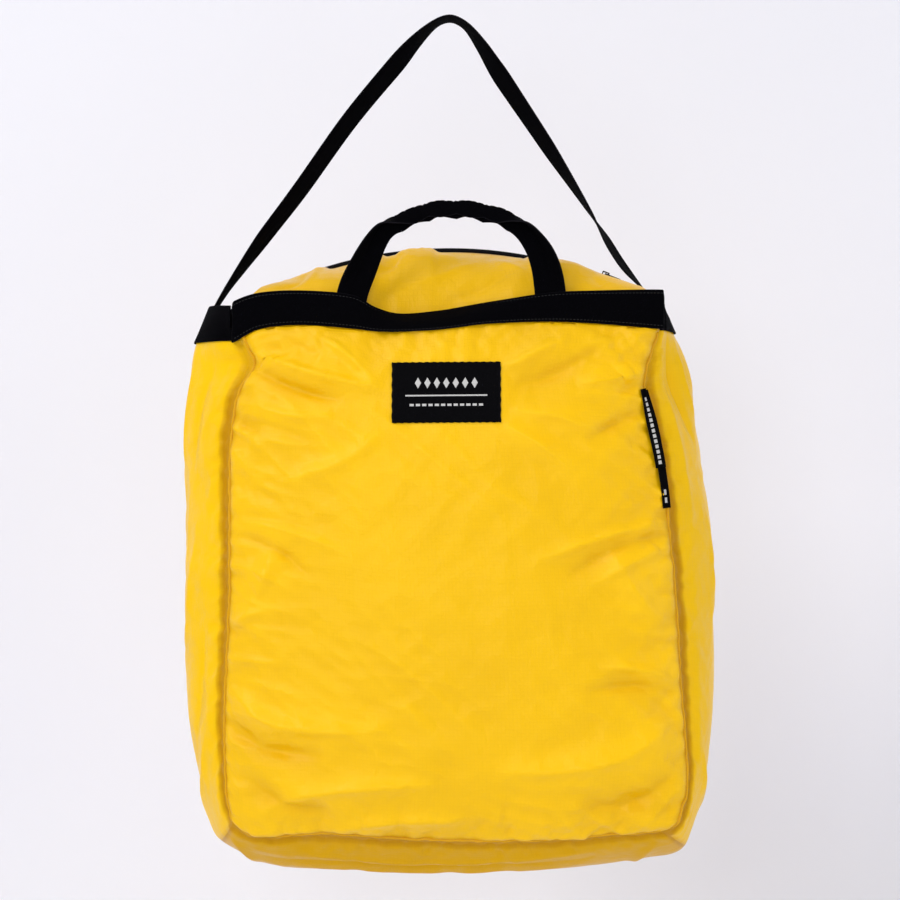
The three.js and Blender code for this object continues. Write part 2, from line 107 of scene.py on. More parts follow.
def cubic(rows, times):
    """Rows of points with times - 1 more between each two, on smooth lines through them."""
    rows = np.asarray(rows, float)
    padded = np.concatenate([[2 * rows[0] - rows[1]], rows, [2 * rows[-1] - rows[-2]]])
    a, b, c, d = (padded[k:len(padded) - 3 + k][:, None] for k in range(4))
    t = (np.arange(times) / times).reshape([1, times] + [1] * (rows.ndim - 1))
    second, third = 2 * a - 5 * b + 4 * c - d, 3 * b - a - 3 * c + d
    cells = 0.5 * (2 * b + (c - a) * t + second * t**2 + third * t**3)
    return np.concatenate([cells.reshape(-1, *rows.shape[1:]), rows[-1:]])


def smooth_line(points, count):
    """count points spread evenly along a smooth line through those given."""
    return even(cubic(points, 24), count)


def finer(grid, times):
    return cubic(cubic(grid, times).swapaxes(0, 1), times).swapaxes(0, 1)


def coons(left, right, top, bottom):
    """A grid that fills the space between four lines; rows run from top to bottom."""
    u = np.linspace(0, 1, len(top))[None, :, None]
    v = np.linspace(0, 1, len(left))[:, None, None]
    ruled = (1 - v) * top[None] + v * bottom[None] + (1 - u) * left[:, None] + u * right[:, None]
    corners = (1 - u) * (1 - v) * top[0] + u * (1 - v) * top[-1]
    corners = corners + (1 - u) * v * bottom[0] + u * v * bottom[-1]
    return ruled - corners


def seam_of(grid):
    """A panel's edge: down its left side, along its base and up its right side."""
    return np.concatenate([grid[:, 0], grid[-1, 1:], grid[-2::-1, -1]])


def shares(grid):
    """How far each column lies across a grid and each row down it, from 0 to 1."""
    rows, columns = grid.shape[:2]
    return np.linspace(0, 1, columns)[None, :], np.linspace(0, 1, rows)[:, None]


def unit(vectors):
    return vectors / np.maximum(np.linalg.norm(vectors, axis=-1, keepdims=True), 1e-9)


def normals_of(grid, facing):
    """The unit normals at a grid's points, on the side that mostly looks along facing."""
    face = np.cross(grid[1:, 1:] - grid[:-1, :-1], grid[:-1, 1:] - grid[1:, :-1])
    total = np.zeros_like(grid)
    for rows in (slice(None, -1), slice(1, None)):
        for columns in (slice(None, -1), slice(1, None)):
            total[rows, columns] += face
    total = unit(total)
    return total if (total @ np.asarray(facing, float)).mean() > 0 else -total


def direction(line):
    """The unit direction of a line at each of its points."""
    return unit(np.gradient(line, axis=0))


def stacked(*parts):
    """Points from their x, y and z, or places from two numbers, each a grid, row or column."""
    return np.stack(np.broadcast_arrays(*parts), axis=-1)


def lerp(a, b, t):
    return a + (b - a) * t


def ease(t):
    t = np.clip(t, 0, 1)
    return t * t * (3 - 2 * t)


def wobble(points, size, seed):
    """Smooth noise from -1 to 1 at each point, with features of that size."""
    flat = np.asarray(points, float).reshape(-1, 3) / size
    shift = Vector((seed * 7.3, seed * 3.1, seed * 5.7))
    values = [noise.noise(Vector(point) + shift) for point in flat]
    return np.array(values).reshape(np.shape(points)[:-1])


# ---------------------------------------------------------------- meshes

def numbers(rows, columns, first=0):
    return first + np.arange(rows * columns).reshape(rows, columns)


def quads(index):
    """The corners of each cell of a grid of point numbers."""
    cells = np.stack([index[:-1, :-1], index[1:, :-1], index[1:, 1:], index[:-1, 1:]], axis=-1)
    return cells.reshape(-1, 4)


def faces_of(grid, facing, index=None):
    """A grid's quads, turned so that they mostly look along facing."""
    faces = quads(numbers(*grid.shape[:2]) if index is None else index)
    look = np.cross(grid[1:, :-1] - grid[:-1, :-1], grid[:-1, 1:] - grid[:-1, :-1])
    return faces if (look * facing).sum() > 0 else faces[:, ::-1]


def front_faces(grid, first):
    """A small grid's quads, numbered from first, in the order in which its first cell looks
    forward."""
    faces = quads(numbers(*grid.shape[:2], first))
    ahead = np.cross(grid[1, 0] - grid[0, 0], grid[0, 1] - grid[0, 0])[1] < 0
    return faces if ahead else faces[:, ::-1]


def make_mesh(name, points, faces, material, uv=None, shade=None):
    """An object from points in millimetres. uv is in millimetres along the cloth, and shade
    is 1 where the material takes its second tone."""
    mesh = bpy.data.meshes.new(name)
    faces = [list(map(int, face)) for face in faces]
    mesh.from_pydata((np.asarray(points).reshape(-1, 3) * MM).tolist(), [], faces)
    if uv is not None:
        corner = np.zeros(len(mesh.loops), np.int32)
        mesh.loops.foreach_get("vertex_index", corner)
        place = np.asarray(uv).reshape(-1, 2)[corner] * MM
        layer = mesh.uv_layers.new(name="fabric")
        layer.data.foreach_set("uv", place.astype(np.float32).ravel())
    tone = np.zeros(len(mesh.vertices)) if shade is None else np.asarray(shade)
    values = mesh.attributes.new("shade", "FLOAT", "POINT").data
    values.foreach_set("value", tone.astype(np.float32).ravel())
    mesh.polygons.foreach_set("use_smooth", np.ones(len(mesh.polygons), bool))
    mesh.materials.append(material)
    mesh.update()
    obj = bpy.data.objects.new(name, mesh)
    bpy.context.scene.collection.objects.link(obj)
    return obj


def lengths_of(grid):
    """For each point of a grid, the millimetres along its column and along its row."""
    down = np.linalg.norm(np.diff(grid, axis=0), axis=-1).mean(axis=1)
    across = np.linalg.norm(np.diff(grid, axis=1), axis=-1).mean(axis=0)
    v = np.concatenate([[0], np.cumsum(down)])
    u = np.concatenate([[0], np.cumsum(across)])
    u -= u[-1] / 2
    return np.stack(np.meshgrid(u, v), axis=-1)


def cloth_sheet(name, grid, material, facing, shade=None):
    """An open sheet of thin cloth whose faces look outward."""
    return make_mesh(name, grid, faces_of(grid, facing), material, lengths_of(grid), shade)


def thick_sheet(name, grid, thickness, material, facing, rim_shade=1.0):
    """A closed strip of webbing or cloth: its middle surface is a grid, its edges are thin."""
    rows, columns = grid.shape[:2]
    normals = normals_of(grid, facing)
    half = np.full((rows, columns, 1), thickness / 2)
    half[[0, -1]] *= THIN_EDGE
    half[:, [0, -1]] *= THIN_EDGE
    shade = np.zeros((rows, columns))
    # The rims take the material's second tone: a painted highlight along the edges of webbing, a darker
    # edge on nylon.
    shade[:, [0, -1]] = rim_shade
    points = np.concatenate([grid + normals * half, grid - normals * half])
    faces = faces_of(grid, normals[:-1, :-1])
    under = rows * columns
    index = numbers(rows, columns)
    rim = np.concatenate([index[0, :-1], index[:-1, -1], index[-1, :0:-1], index[:0:-1, 0]])
    ahead = np.roll(rim, -1)
    sides = np.stack([rim, ahead, ahead + under, rim + under], axis=-1)
    if faces[0, 1] != columns:
        sides = sides[:, ::-1]
    uv = lengths_of(grid).reshape(-1, 2)
    every = np.concatenate([faces, faces[:, ::-1] + under, sides])
    return make_mesh(name, points, every, material, np.tile(uv, (2, 1)), np.tile(shade.ravel(), 2))


def finish_piece(obj, body, slot, *nodes, folds=False):
    """The piece moves with a body and stands for any CAD nodes given; where folds says so, it gets a mesh
    of its own."""
    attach(obj, body)
    if nodes:
        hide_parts(*nodes)
    if folds:
        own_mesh(obj)
    return obj


# ---------------------------------------------------------------- materials

class Look:
    """A material and shortcuts for its nodes. Its Principled sockets take the constants."""

    def __init__(self, name, **constants):
        self.material = bpy.data.materials.new(name)
        self.material.use_nodes = True
        self.tree = self.material.node_tree
        self.shader = self.tree.nodes["Principled BSDF"]
        for socket, value in constants.items():
            self.shader.inputs[socket.replace("_", " ")].default_value = value

    def put(self, socket, value):
        if isinstance(value, bpy.types.NodeSocket):
            self.tree.links.new(value, socket)
        else:
            socket.default_value = value

    def add(self, kind, inputs=None, **settings):
        node = self.tree.nodes.new("ShaderNode" + kind)
        for key, value in settings.items():
            setattr(node, key, value)
        for key, value in (inputs or {}).items():
            self.put(node.inputs[key], value)
        return node

    def maths(self, operation, a, b=0.0, c=0.0):
        return self.add("Math", {0: a, 1: b, 2: c}, operation=operation).outputs[0]

    def vector_maths(self, operation, inputs):
        return self.add("VectorMath", inputs, operation=operation).outputs[0]

    def uv(self):
        """The place along the cloth, u and v, in metres."""
        place = self.add("UVMap", uv_map="fabric").outputs["UV"]
        parts = self.add("SeparateXYZ", {0: place})
        return parts.outputs["X"], parts.outputs["Y"]

    def object_place(self):
        return self.add("TexCoord").outputs["Object"]

    def shade(self):
        return self.add("Attribute", attribute_name="shade").outputs["Fac"]

    def noise(self, size, detail=2.0, distortion=0.0, place=None):
        """Noise from 0 to 1 with features of that size in metres."""
        inputs = {"Vector": place or self.object_place(), "Scale": 1 / size}
        inputs.update({"Detail": detail, "Distortion": distortion})
        return self.add("TexNoise", inputs).outputs[0]

    def facets(self, size):
        """Facets of that size that meet in soft creases, as crumpled cloth has."""
        place = self.object_place()
        stray = self.add("TexNoise", {"Vector": place, "Scale": 0.7 / size}).outputs["Color"]
        stray = self.vector_maths("SCALE", {0: stray, "Scale": 1.2 * size})
        inputs = {"Vector": self.vector_maths("ADD", {0: place, 1: stray}), "Scale": 1 / size}
        cells = self.add("TexVoronoi", inputs, feature="SMOOTH_F1")
        self.put(cells.inputs["Smoothness"], 0.25)
        return cells.outputs["Distance"]

    def lines(self, along, pitch, width):
        """1 on thin lines a pitch apart, 0 between them."""
        wave = self.maths("PINGPONG", along, pitch / 2)
        inputs = {"Value": wave, "From Min": width, "From Max": 0.0}
        return self.add("MapRange", inputs, interpolation_type="SMOOTHSTEP").outputs[0]

    def ribs(self, along, pitch):
        """Rounded ribs a pitch apart, from -1 to 1."""
        return self.maths("SINE", self.maths("MULTIPLY", along, 2 * math.pi / pitch))

    def mix(self, factor, a, b):
        node = self.add("Mix", data_type="RGBA")
        self.put(node.inputs[0], factor)
        self.put(node.inputs[6], a)
        self.put(node.inputs[7], b)
        return node.outputs[2]

    def bump(self, height, distance, below=None):
        node = self.add("Bump", {"Height": height, "Distance": distance, "Strength": 1.0})
        if below is not None:
            self.put(node.inputs["Normal"], below)
        return node.outputs["Normal"]

    def finish(self, colour, normal=None, roughness=None):
        self.put(self.shader.inputs["Base Color"], colour)
        if normal is not None:
            self.put(self.shader.inputs["Normal"], normal)
        if roughness is not None:
            self.put(self.shader.inputs["Roughness"], roughness)
        return self.material


def colour(red, green, blue):
    """A colour given in sRGB from 0 to 255."""
    values = [c / 255 for c in (red, green, blue)]
    return [c / 12.92 if c < 0.04045 else ((c + 0.055) / 1.055) ** 2.4 for c in values] + [1.0]


def nylon_look(name, base, deep, gloss=0.34):
    """Thin ripstop nylon: a fine grid of thicker threads, slight crinkles and a soft gloss."""
    look = Look(name, Roughness=0.32, Specular_IOR_Level=gloss, Specular_Tint=(1.0, 0.9, 0.6, 1.0))
    u, v = look.uv()
    pitch, line_width, thread = 0.0036, 0.0005, 0.0007
    grid = look.maths("MAXIMUM", look.lines(u, pitch, line_width), look.lines(v, pitch, line_width))
    weave = look.maths("MULTIPLY", look.ribs(u, thread), look.ribs(v, thread))
    crinkle = look.noise(0.014, 3.0, 0.8)
    facets = look.facets(0.034)
    cloud = look.noise(0.11, 2.0)
    tone = look.maths("MULTIPLY_ADD", grid, 0.05, look.maths("MULTIPLY", cloud, 0.16))
    # The shade attribute adds each piece's painted shade and painted highlight, along with seam
    # allowances and webbing seen through the cloth.
    tone = look.maths("ADD", tone, look.shade())
    normal = look.bump(facets, 0.003)
    normal = look.bump(crinkle, 0.0008, normal)
    normal = look.bump(grid, 0.00007, normal)
    normal = look.bump(weave, 0.00002, normal)
    clamped = look.maths("MINIMUM", tone, 1.0)
    return look.finish(look.mix(clamped, base, deep), normal)


def webbing_look(name, base, edge):
    """Woven webbing: fine slanting ribs that turn back every few millimetres."""
    look = Look(name, Roughness=0.85, Specular_IOR_Level=0.02)
    u, v = look.uv()
    slant = look.maths("ADD", v, look.maths("PINGPONG", u, 0.0045))
    ribs = look.ribs(slant, 0.0016)
    fuzz = look.noise(0.0012, 2.0)
    normal = look.bump(ribs, 0.00012)
    normal = look.bump(fuzz, 0.0002, normal)
    # The ribs' crests and the rims (the shade attribute) take the lighter colour as a painted highlight;
    # the fuzz is a random lighter tone.
    lit = look.maths("MULTIPLY_ADD", ribs, 0.04, look.maths("MULTIPLY", fuzz, 0.12))
    tone = look.maths("MINIMUM", look.maths("MULTIPLY_ADD", look.shade(), 0.5, lit), 1.0)
    return look.finish(look.mix(tone, base, edge), normal)


def moulded_look(name, base, worn, roughness, metallic=0.0):
    """Painted metal or moulded plastic with a faint grain and rubbed spots."""
    look = Look(name, Metallic=metallic, Specular_IOR_Level=0.5)
    grain = look.noise(0.0008, 2.0)
    rubbed = look.noise(0.004, 3.0)
    inputs = {"Value": rubbed, "From Min": 0.55, "From Max": 0.75}
    spots = look.add("MapRange", inputs).outputs[0]
    normal = look.bump(grain, 0.00004)
    sheen = look.maths("MULTIPLY_ADD", grain, 0.15, roughness)
    return look.finish(look.mix(look.maths("MULTIPLY", spots, 0.35), base, worn), normal, sheen)


def thread_look(name, base, deep):
    """Twisted sewing or weaving thread."""
    look = Look(name, Roughness=0.6, Sheen_Weight=0.1)
    twist = look.noise(0.0006, 1.0)
    return look.finish(look.mix(twist, base, deep), look.bump(twist, 0.0001))


def wall_look():
    """A pale painted wall that can be looked through from behind."""
    look = Look("wall", Roughness=0.9, Specular_IOR_Level=0.1)
    cloud = look.noise(0.5, 2.0)
    paint = look.finish(look.mix(cloud, WALL_LIGHT, WALL_DEEP), look.bump(look.noise(0.004), 0.0001))
    clear = look.add("BsdfTransparent").outputs[0]
    behind = look.add("NewGeometry").outputs["Backfacing"]
    mixed = look.add("MixShader", {0: behind, 1: look.shader.outputs[0], 2: clear}).outputs[0]
    look.put(look.tree.nodes["Material Output"].inputs["Surface"], mixed)
    return paint


WALL_LIGHT = colour(242, 243, 251)
WALL_DEEP = colour(237, 238, 246)
YELLOW = colour(251, 198, 2)
# GOLD, the nylon's second tone, is also the colour of the painted shade.
GOLD = colour(196, 140, 0)
BLACK = colour(1, 1, 3)
BLACK_LIT = colour(34, 33, 38)
OFF_WHITE = colour(214, 214, 212)

NYLON = nylon_look("ripstop_nylon", YELLOW, GOLD)
# A lighter copy of the nylon for the gusset, with less gloss: its lighter yellow is painted light on the
# bag's sides.
SIDE_NYLON_PAINTED_LIGHTER = nylon_look("ripstop_nylon_sides", colour(255, 204, 4), GOLD, 0.14)
BINDING = nylon_look("folded_nylon_binding", colour(226, 168, 4), colour(168, 114, 0))
WEBBING = webbing_look("black_webbing", BLACK, BLACK_LIT)
TAPE = webbing_look("zip_tape_weave", colour(8, 8, 11), colour(40, 39, 44))
COIL = moulded_look("coil_plastic", colour(20, 20, 23), colour(60, 60, 64), 0.32)
METAL = moulded_look("black_painted_metal", colour(24, 24, 27), colour(96, 94, 92), 0.3, 0.7)
LABEL_CLOTH = webbing_look("label_weave", colour(6, 6, 8), colour(42, 41, 45))
LABEL_THREAD = thread_look("label_thread", OFF_WHITE, colour(168, 168, 168))
BLACK_THREAD = thread_look("black_thread", colour(12, 12, 15), colour(3, 3, 5))
GOLD_THREAD = thread_look("gold_thread", colour(236, 172, 20), colour(196, 132, 8))


# ---------------------------------------------------------------- camera, lights and stage

def make_camera():
    data = bpy.data.cameras.new("camera")
    data.sensor_width = 36
    data.lens = 96
    camera = bpy.data.objects.new("camera", data)
    camera.location = (0, -2.4, -0.43)
    camera.rotation_euler = (math.pi / 2, 0, 0)
    bpy.context.scene.collection.objects.link(camera)
    bpy.context.scene.camera = camera


def add_softbox(name, place, aim, size, power, tint=(1, 1, 1)):
    data = bpy.data.lights.new(name, "AREA")
    data.shape = "RECTANGLE"
    data.size, data.size_y = size
    data.energy = power
    data.color = tint
    lamp = bpy.data.objects.new(name, data)
    lamp.location = place
    lamp.rotation_euler = (Vector(aim) - Vector(place)).to_track_quat("-Z", "Y").to_euler()
    bpy.context.scene.collection.objects.link(lamp)


def make_stage():
    """A wall far enough back for the bag to swing, running down into a floor in one sweep."""
    wall_y, wall_top, floor_z, bend, reach = 740.0, 2600.0, -1250.0, 420.0, 3600.0
    profile = [(wall_y, wall_top), (wall_y, floor_z + bend)]
    for t in np.linspace(0, math.pi / 2, 13)[1:]:
        profile.append((wall_y - bend * (1 - math.cos(t)), floor_z + bend * (1 - math.sin(t))))
    profile.append((-reach, floor_z))
    grid = np.array([[(x, y, z) for x in np.linspace(-reach, reach, 9)] for y, z in profile])
    sweep = make_mesh("backdrop", grid, faces_of(grid, (0, -1, 0.3)), wall_look())
    sweep.visible_shadow = False
    world = bpy.data.worlds.new("studio")
    world.use_nodes = True
    background = world.node_tree.nodes["Background"]
    background.inputs["Color"].default_value = (1.0, 0.985, 0.975, 1)
    background.inputs["Strength"].default_value = 0.5
    bpy.context.scene.world = world
    bpy.context.scene.view_settings.view_transform = "Standard"
    aim = (0, 0, -0.45)
    add_softbox("key", (-2.6, -2.9, 1.7), aim, (1.4, 1.4), 62, (1.0, 0.99, 0.98))
    add_softbox("front", (-0.42, -2.7, -0.12), (0, 0.5, -0.45), (0.55, 0.55), 10, (1.0, 0.99, 0.98))
    add_softbox("fill", (2.7, -1.3, -0.1), aim, (1.6, 2.0), 15, (1.0, 0.99, 0.97))
    add_softbox("top", (-0.4, -0.9, 1.6), aim, (1.2, 0.8), 7)
    add_softbox("behind", (0.6, 2.2, 0.6), aim, (2.0, 2.0), 16)


# ---------------------------------------------------------------- outlines of the bag

# The front band from its left end to its right: x, then the height and the depth of its top
# edge and of its lower edge. It dips and leans back between the handle's feet.
FRONT_BAND = np.array([
    (-211.5, -292, 68, -326, 70),
    (-210.5, -289, 74, -326, 76),
    (-207, -285, 79, -325, 80.5),
    (-184, -278, 83, -313.5, 85),
    (-145, -276, 84.5, -309.5, 88),
    (-96, -280, 84.5, -313, 91),
    (-72, -292, 78, -316, 97),
    (-48, -298, 75, -316.5, 100),
    (-10, -295, 75, -314.5, 100),
    (25, -289, 77, -310, 98),
    (50, -285, 80, -308, 96),
    (98, -278, 84.5, -306.5, 91),
    (145, -276, 84.5, -308.5, 88),
    (200, -275, 83, -313, 84),
    (205.5, -276.5, 79.5, -313.5, 80.5),
    (207.5, -282, 71, -314, 72),
])

# The front seam down the left side, along the base and up the right side: x and height.
FRONT_SEAM = [
    (-205, -304), (-198, -326), (-189, -346), (-204, -374), (-212, -405), (-214, -450),
    (-214, -520), (-215, -580), (-220, -655), (-221, -712), (-217, -762),
    (-206, -792), (-180, -804), (-116, -803), (-46, -808), (30, -810), (106, -809),
    (184, -801), (213, -796), (225, -777), (232, -745), (231, -700), (226, -640), (221, -570),
    (215, -512), (207, -450), (198, -402), (188, -368), (192, -345), (200, -322), (206, -303),
]
BACK_SEAM = [
    (-208, -303), (-210, -340), (-213, -430), (-217, -560), (-221, -680), (-223, -745),
    (-212, -787), (-180, -804), (-90, -806), (0, -807), (90, -806), (180, -804), (212, -787),
    (223, -745), (221, -680), (217, -560), (213, -430), (210, -340), (208, -303),
]
# The gusset's line at mid depth, which is the bag's silhouette.
GUSSET_CREST = [
    (-247, -308), (-257, -340), (-262, -395), (-264, -470), (-265, -560), (-264, -640),
    (-260, -700), (-248, -756), (-235, -808), (-211, -828), (-167, -845), (-95, -849),
    (-20, -850), (50, -850), (112, -846), (190, -836), (228, -828), (240, -804), (253, -750), (261, -690),
    (264, -625), (263, -545), (257, -480), (246, -408), (234, -350), (223, -317), (216, -299),
]
CORNER_X = 208.0  # the base corners' cross seams lie where the seam passes this x
CROWN = 18.0  # how far the full panels puff out from their seams
ROLL = 5.5  # and how far they roll over them


def three_parts(line, at_left, at_right):
    """A line cut at two points: down the left side, along the base, down the right side."""
    return (
        even(line[:at_left + 1], CELLS_DOWN + 1),
        even(line[at_left:at_right + 1], CELLS_ACROSS + 1),
        even(line[at_right:], CELLS_DOWN + 1)[::-1],
    )


def split_seam(points):
    """A panel's seam, cut at the base corners."""
    line = cubic(points, 40)
    low = line[:, 1] < BASE_SEAM_Z + 30
    at_left = np.argmax(low & (line[:, 0] > -CORNER_X))
    at_right = len(line) - 1 - np.argmax((low & (line[:, 0] < CORNER_X))[::-1])
    return three_parts(line, at_left, at_right)


def split_crest(points):
    """The gusset's crest, cut below and beside the base corners."""
    line = cubic(points, 40)
    corner_x, corner_z = CORNER_X + 18, BASE_SEAM_Z - 12
    distance = [np.hypot(line[:, 0] - x, line[:, 1] - corner_z) for x in (-corner_x, corner_x)]
    return three_parts(line, *(np.argmin(d) for d in distance))


def at_depth(line, y):
    return np.stack([line[:, 0], np.full(len(line), float(y)), line[:, 1]], axis=1)


def band_edge(x, column):
    """A column of FRONT_BAND at each x, smoothly."""
    curve = cubic(FRONT_BAND, 12)
    return np.interp(x, curve[:, 0], curve[:, column])


def panel_top(side, count):
    """The line where a panel comes out from under its band."""
    x = np.linspace(-1, 1, count)
    if side < 0:
        x = lerp(FRONT_SEAM[0][0], FRONT_SEAM[-1][0], (x + 1) / 2)
        share = 0.28
        y = -lerp(band_edge(x, 4), band_edge(x, 2), share) + 2.2
        z = lerp(band_edge(x, 3), band_edge(x, 1), share)
    else:
        x = lerp(BACK_SEAM[0][0], BACK_SEAM[-1][0], (x + 1) / 2)
        y = np.full(count, HANDLE_Y - 1.6)
        z = np.full(count, MOUTH_Z - BAND_H + 10.0)
    return np.stack([x, y, z], axis=1)


def tucked(grid, gap, reach):
    """A front grid held back behind the band wherever it lies between the band's edges."""
    x, z = grid[..., 0], grid[..., 2]
    low, high = band_edge(x, 3), band_edge(x, 1)
    share = np.clip((z - low) / (high - low), 0, 1)
    limit = lerp(band_edge(x, 4), band_edge(x, 2), share) + band_bow(x) * np.sin(np.pi * share) - gap
    behind = (z > low - reach) & (z < high + reach)
    grid[..., 1] = np.where(behind, np.maximum(grid[..., 1], -limit), grid[..., 1])
    return grid


def band_bow(x):
    """How far the front band bows out between its edges: most where it leans back."""
    return np.interp(x, [-203, -190, -90, -40, 30, 100, 190, 200], [0, 0.4, 0.5, 4, 4, 0.5, 0.4, 0])


def puffed_panel(side, seam):
    """A panel as a grid, rows from the mouth down and columns from left to right."""
    left, base, right = (at_depth(line, side * SEAM_Y) for line in seam)
    top = panel_top(side, CELLS_ACROSS + 1)
    left[0], right[0] = top[0], top[-1]
    grid = coons(left, right, top, base)
    u = np.linspace(-1, 1, CELLS_ACROSS + 1)[None, :]
    v = np.linspace(0, 1, CELLS_DOWN + 1)[:, None]
    upper = 0.5 if side < 0 else 0.0  # the front is already full where it leaves its band
    near_top = (1 - upper) * (1 - (1 - 2 * v).clip(0) ** 2.2) + upper * ease(v * 3)
    near_base = 1 - (2 * v - 1).clip(0) ** 3.2
    down = np.where(v < 0.5, near_top, near_base)
    crown = CROWN * (1 - np.abs(u) ** 2.8) * down
    to_side = (1 - np.abs(u)) * MOUTH_HALF
    to_base = (1 - v) * (MOUTH_Z - BASE_SEAM_Z)
    roll = ROLL * (1 - np.exp(-to_side / 8)) * (1 - np.exp(-to_base / 8)) * ease(v * 12)
    grid[..., 1] += side * (crown + roll) * (1 - 0.18 * ease(1 - v * 5) * (side < 0))
    return grid


def puffed_gusset(front, back, crest):
    """The gusset as a grid: rows along the seam, columns from the front to the back."""
    seams = []
    for line, y in ((front, -SEAM_Y), (crest, 0), (back, SEAM_Y)):
        left, base, right = (at_depth(part, y) for part in line)
        seams.append(np.concatenate([left, base[1:], right[-2::-1]]))
    s = np.linspace(0, 1, CELLS_DEEP + 1)[None, :, None]
    ahead, middle, behind = (line[:, None] for line in seams)
    chord = lerp(ahead, behind, s)
    return chord + (middle - (ahead + behind) / 2) * (1 - np.abs(2 * s - 1) ** 2.1)


# The stuffed bag's cloth simulation.
PIN_LOOSE = 0.02  # how firmly the free cloth is held where it starts
PRESSURE = 1.2
SPARE_CLOTH = 0.02  # the cloth is cut larger than its outline by this share
FRAMES = 22
FARTHEST = 9.0  # no point moves further than this


def number_shell(front, gusset):
    """Point numbers for the two panels and the gusset, which share the points of their seams."""
    front_index = numbers(*front.shape[:2])
    back_index = numbers(*front.shape[:2], front_index.size)
    inner = numbers(gusset.shape[0], gusset.shape[1] - 2, 2 * front_index.size)
    gusset_index = np.column_stack([seam_of(front_index), inner, seam_of(back_index)])
    return front_index, gusset_index, back_index


def weigh(obj, name, *weighted):
    group = obj.vertex_groups.new(name=name)
    for points, weight in weighted:
        group.add([int(i) for i in points], weight, "REPLACE")


def add_cloth(obj):
    """Light cloth, blown up from inside and held by its pin weights, that runs FRAMES."""
    cloth = obj.modifiers.new("Cloth", "CLOTH")
    settings = cloth.settings
    settings.quality = 6
    settings.mass = 0.12
    settings.air_damping = 3.0
    settings.tension_stiffness = 18
    settings.compression_stiffness = 18
    settings.shear_stiffness = 6
    settings.bending_stiffness = 0.12
    settings.vertex_group_mass = "pin"
    settings.pin_stiffness = 1.0
    settings.use_pressure = True
    settings.uniform_pressure_force = PRESSURE
    settings.shrink_min = -SPARE_CLOTH
    settings.vertex_group_shrink = "gather"
    settings.shrink_max = 0.0
    settings.effector_weights.gravity = 0
    cloth.collision_settings.use_collision = False
    cloth.point_cache.frame_end = FRAMES
    for number in range(1, FRAMES + 1):
        bpy.context.scene.frame_set(number)


def points_after(obj):
    """The points of an object with its modifiers, in millimetres."""
    done = obj.evaluated_get(bpy.context.evaluated_depsgraph_get()).to_mesh()
    moved = np.zeros(len(done.vertices) * 3, np.float32)
    done.vertices.foreach_get("co", moved)
    return moved.reshape(-1, 3) / MM


def inflate(front, gusset, back):
    """Runs the stuffed bag as cloth: the panels and gusset are cut a little too large for
    their seams, so they buckle into soft folds. Returns the three grids again."""
    front_index, gusset_index, back_index = number_shell(front, gusset)
    start = np.concatenate([front.reshape(-1, 3), back.reshape(-1, 3), gusset[:, 1:-1].reshape(-1, 3)])
    jolt = np.random.default_rng(5).normal(0, 0.25, start.shape)
    faces = [
        faces_of(front, (0, -1, 0), front_index),
        faces_of(back, (0, 1, 0), back_index),
        faces_of(gusset, gusset[:-1, :-1] - BAG_MIDDLE, gusset_index),
    ]
    obj = make_mesh("stuffed", start + jolt, np.concatenate(faces), NYLON)
    pinned = {*front_index[:2].flat, *back_index[:2].flat, *gusset_index[0], *gusset_index[-1]}
    free = [i for i in range(len(start)) if i not in pinned]
    weigh(obj, "pin", (free, PIN_LOOSE), (pinned, 1.0))
    weigh(obj, "gather", (set(seam_of(front_index)) | set(seam_of(back_index)), 1.0))
    add_cloth(obj)
    shift = points_after(obj) - start
    bpy.data.objects.remove(obj)
    bpy.context.scene.frame_set(1)
    far = np.linalg.norm(shift, axis=1, keepdims=True)
    shift *= FARTHEST * np.tanh(far / FARTHEST) / np.maximum(far, 1e-6)
    held = np.ones(len(start))
    held[gusset_index[:, 3:-3]] = 0.3  # the gusset keeps its plain curve, its seams move freely
    result = start + shift * held[:, None]
    return result[front_index], result[gusset_index], result[back_index]


# ---------------------------------------------------------------- folds and puckers

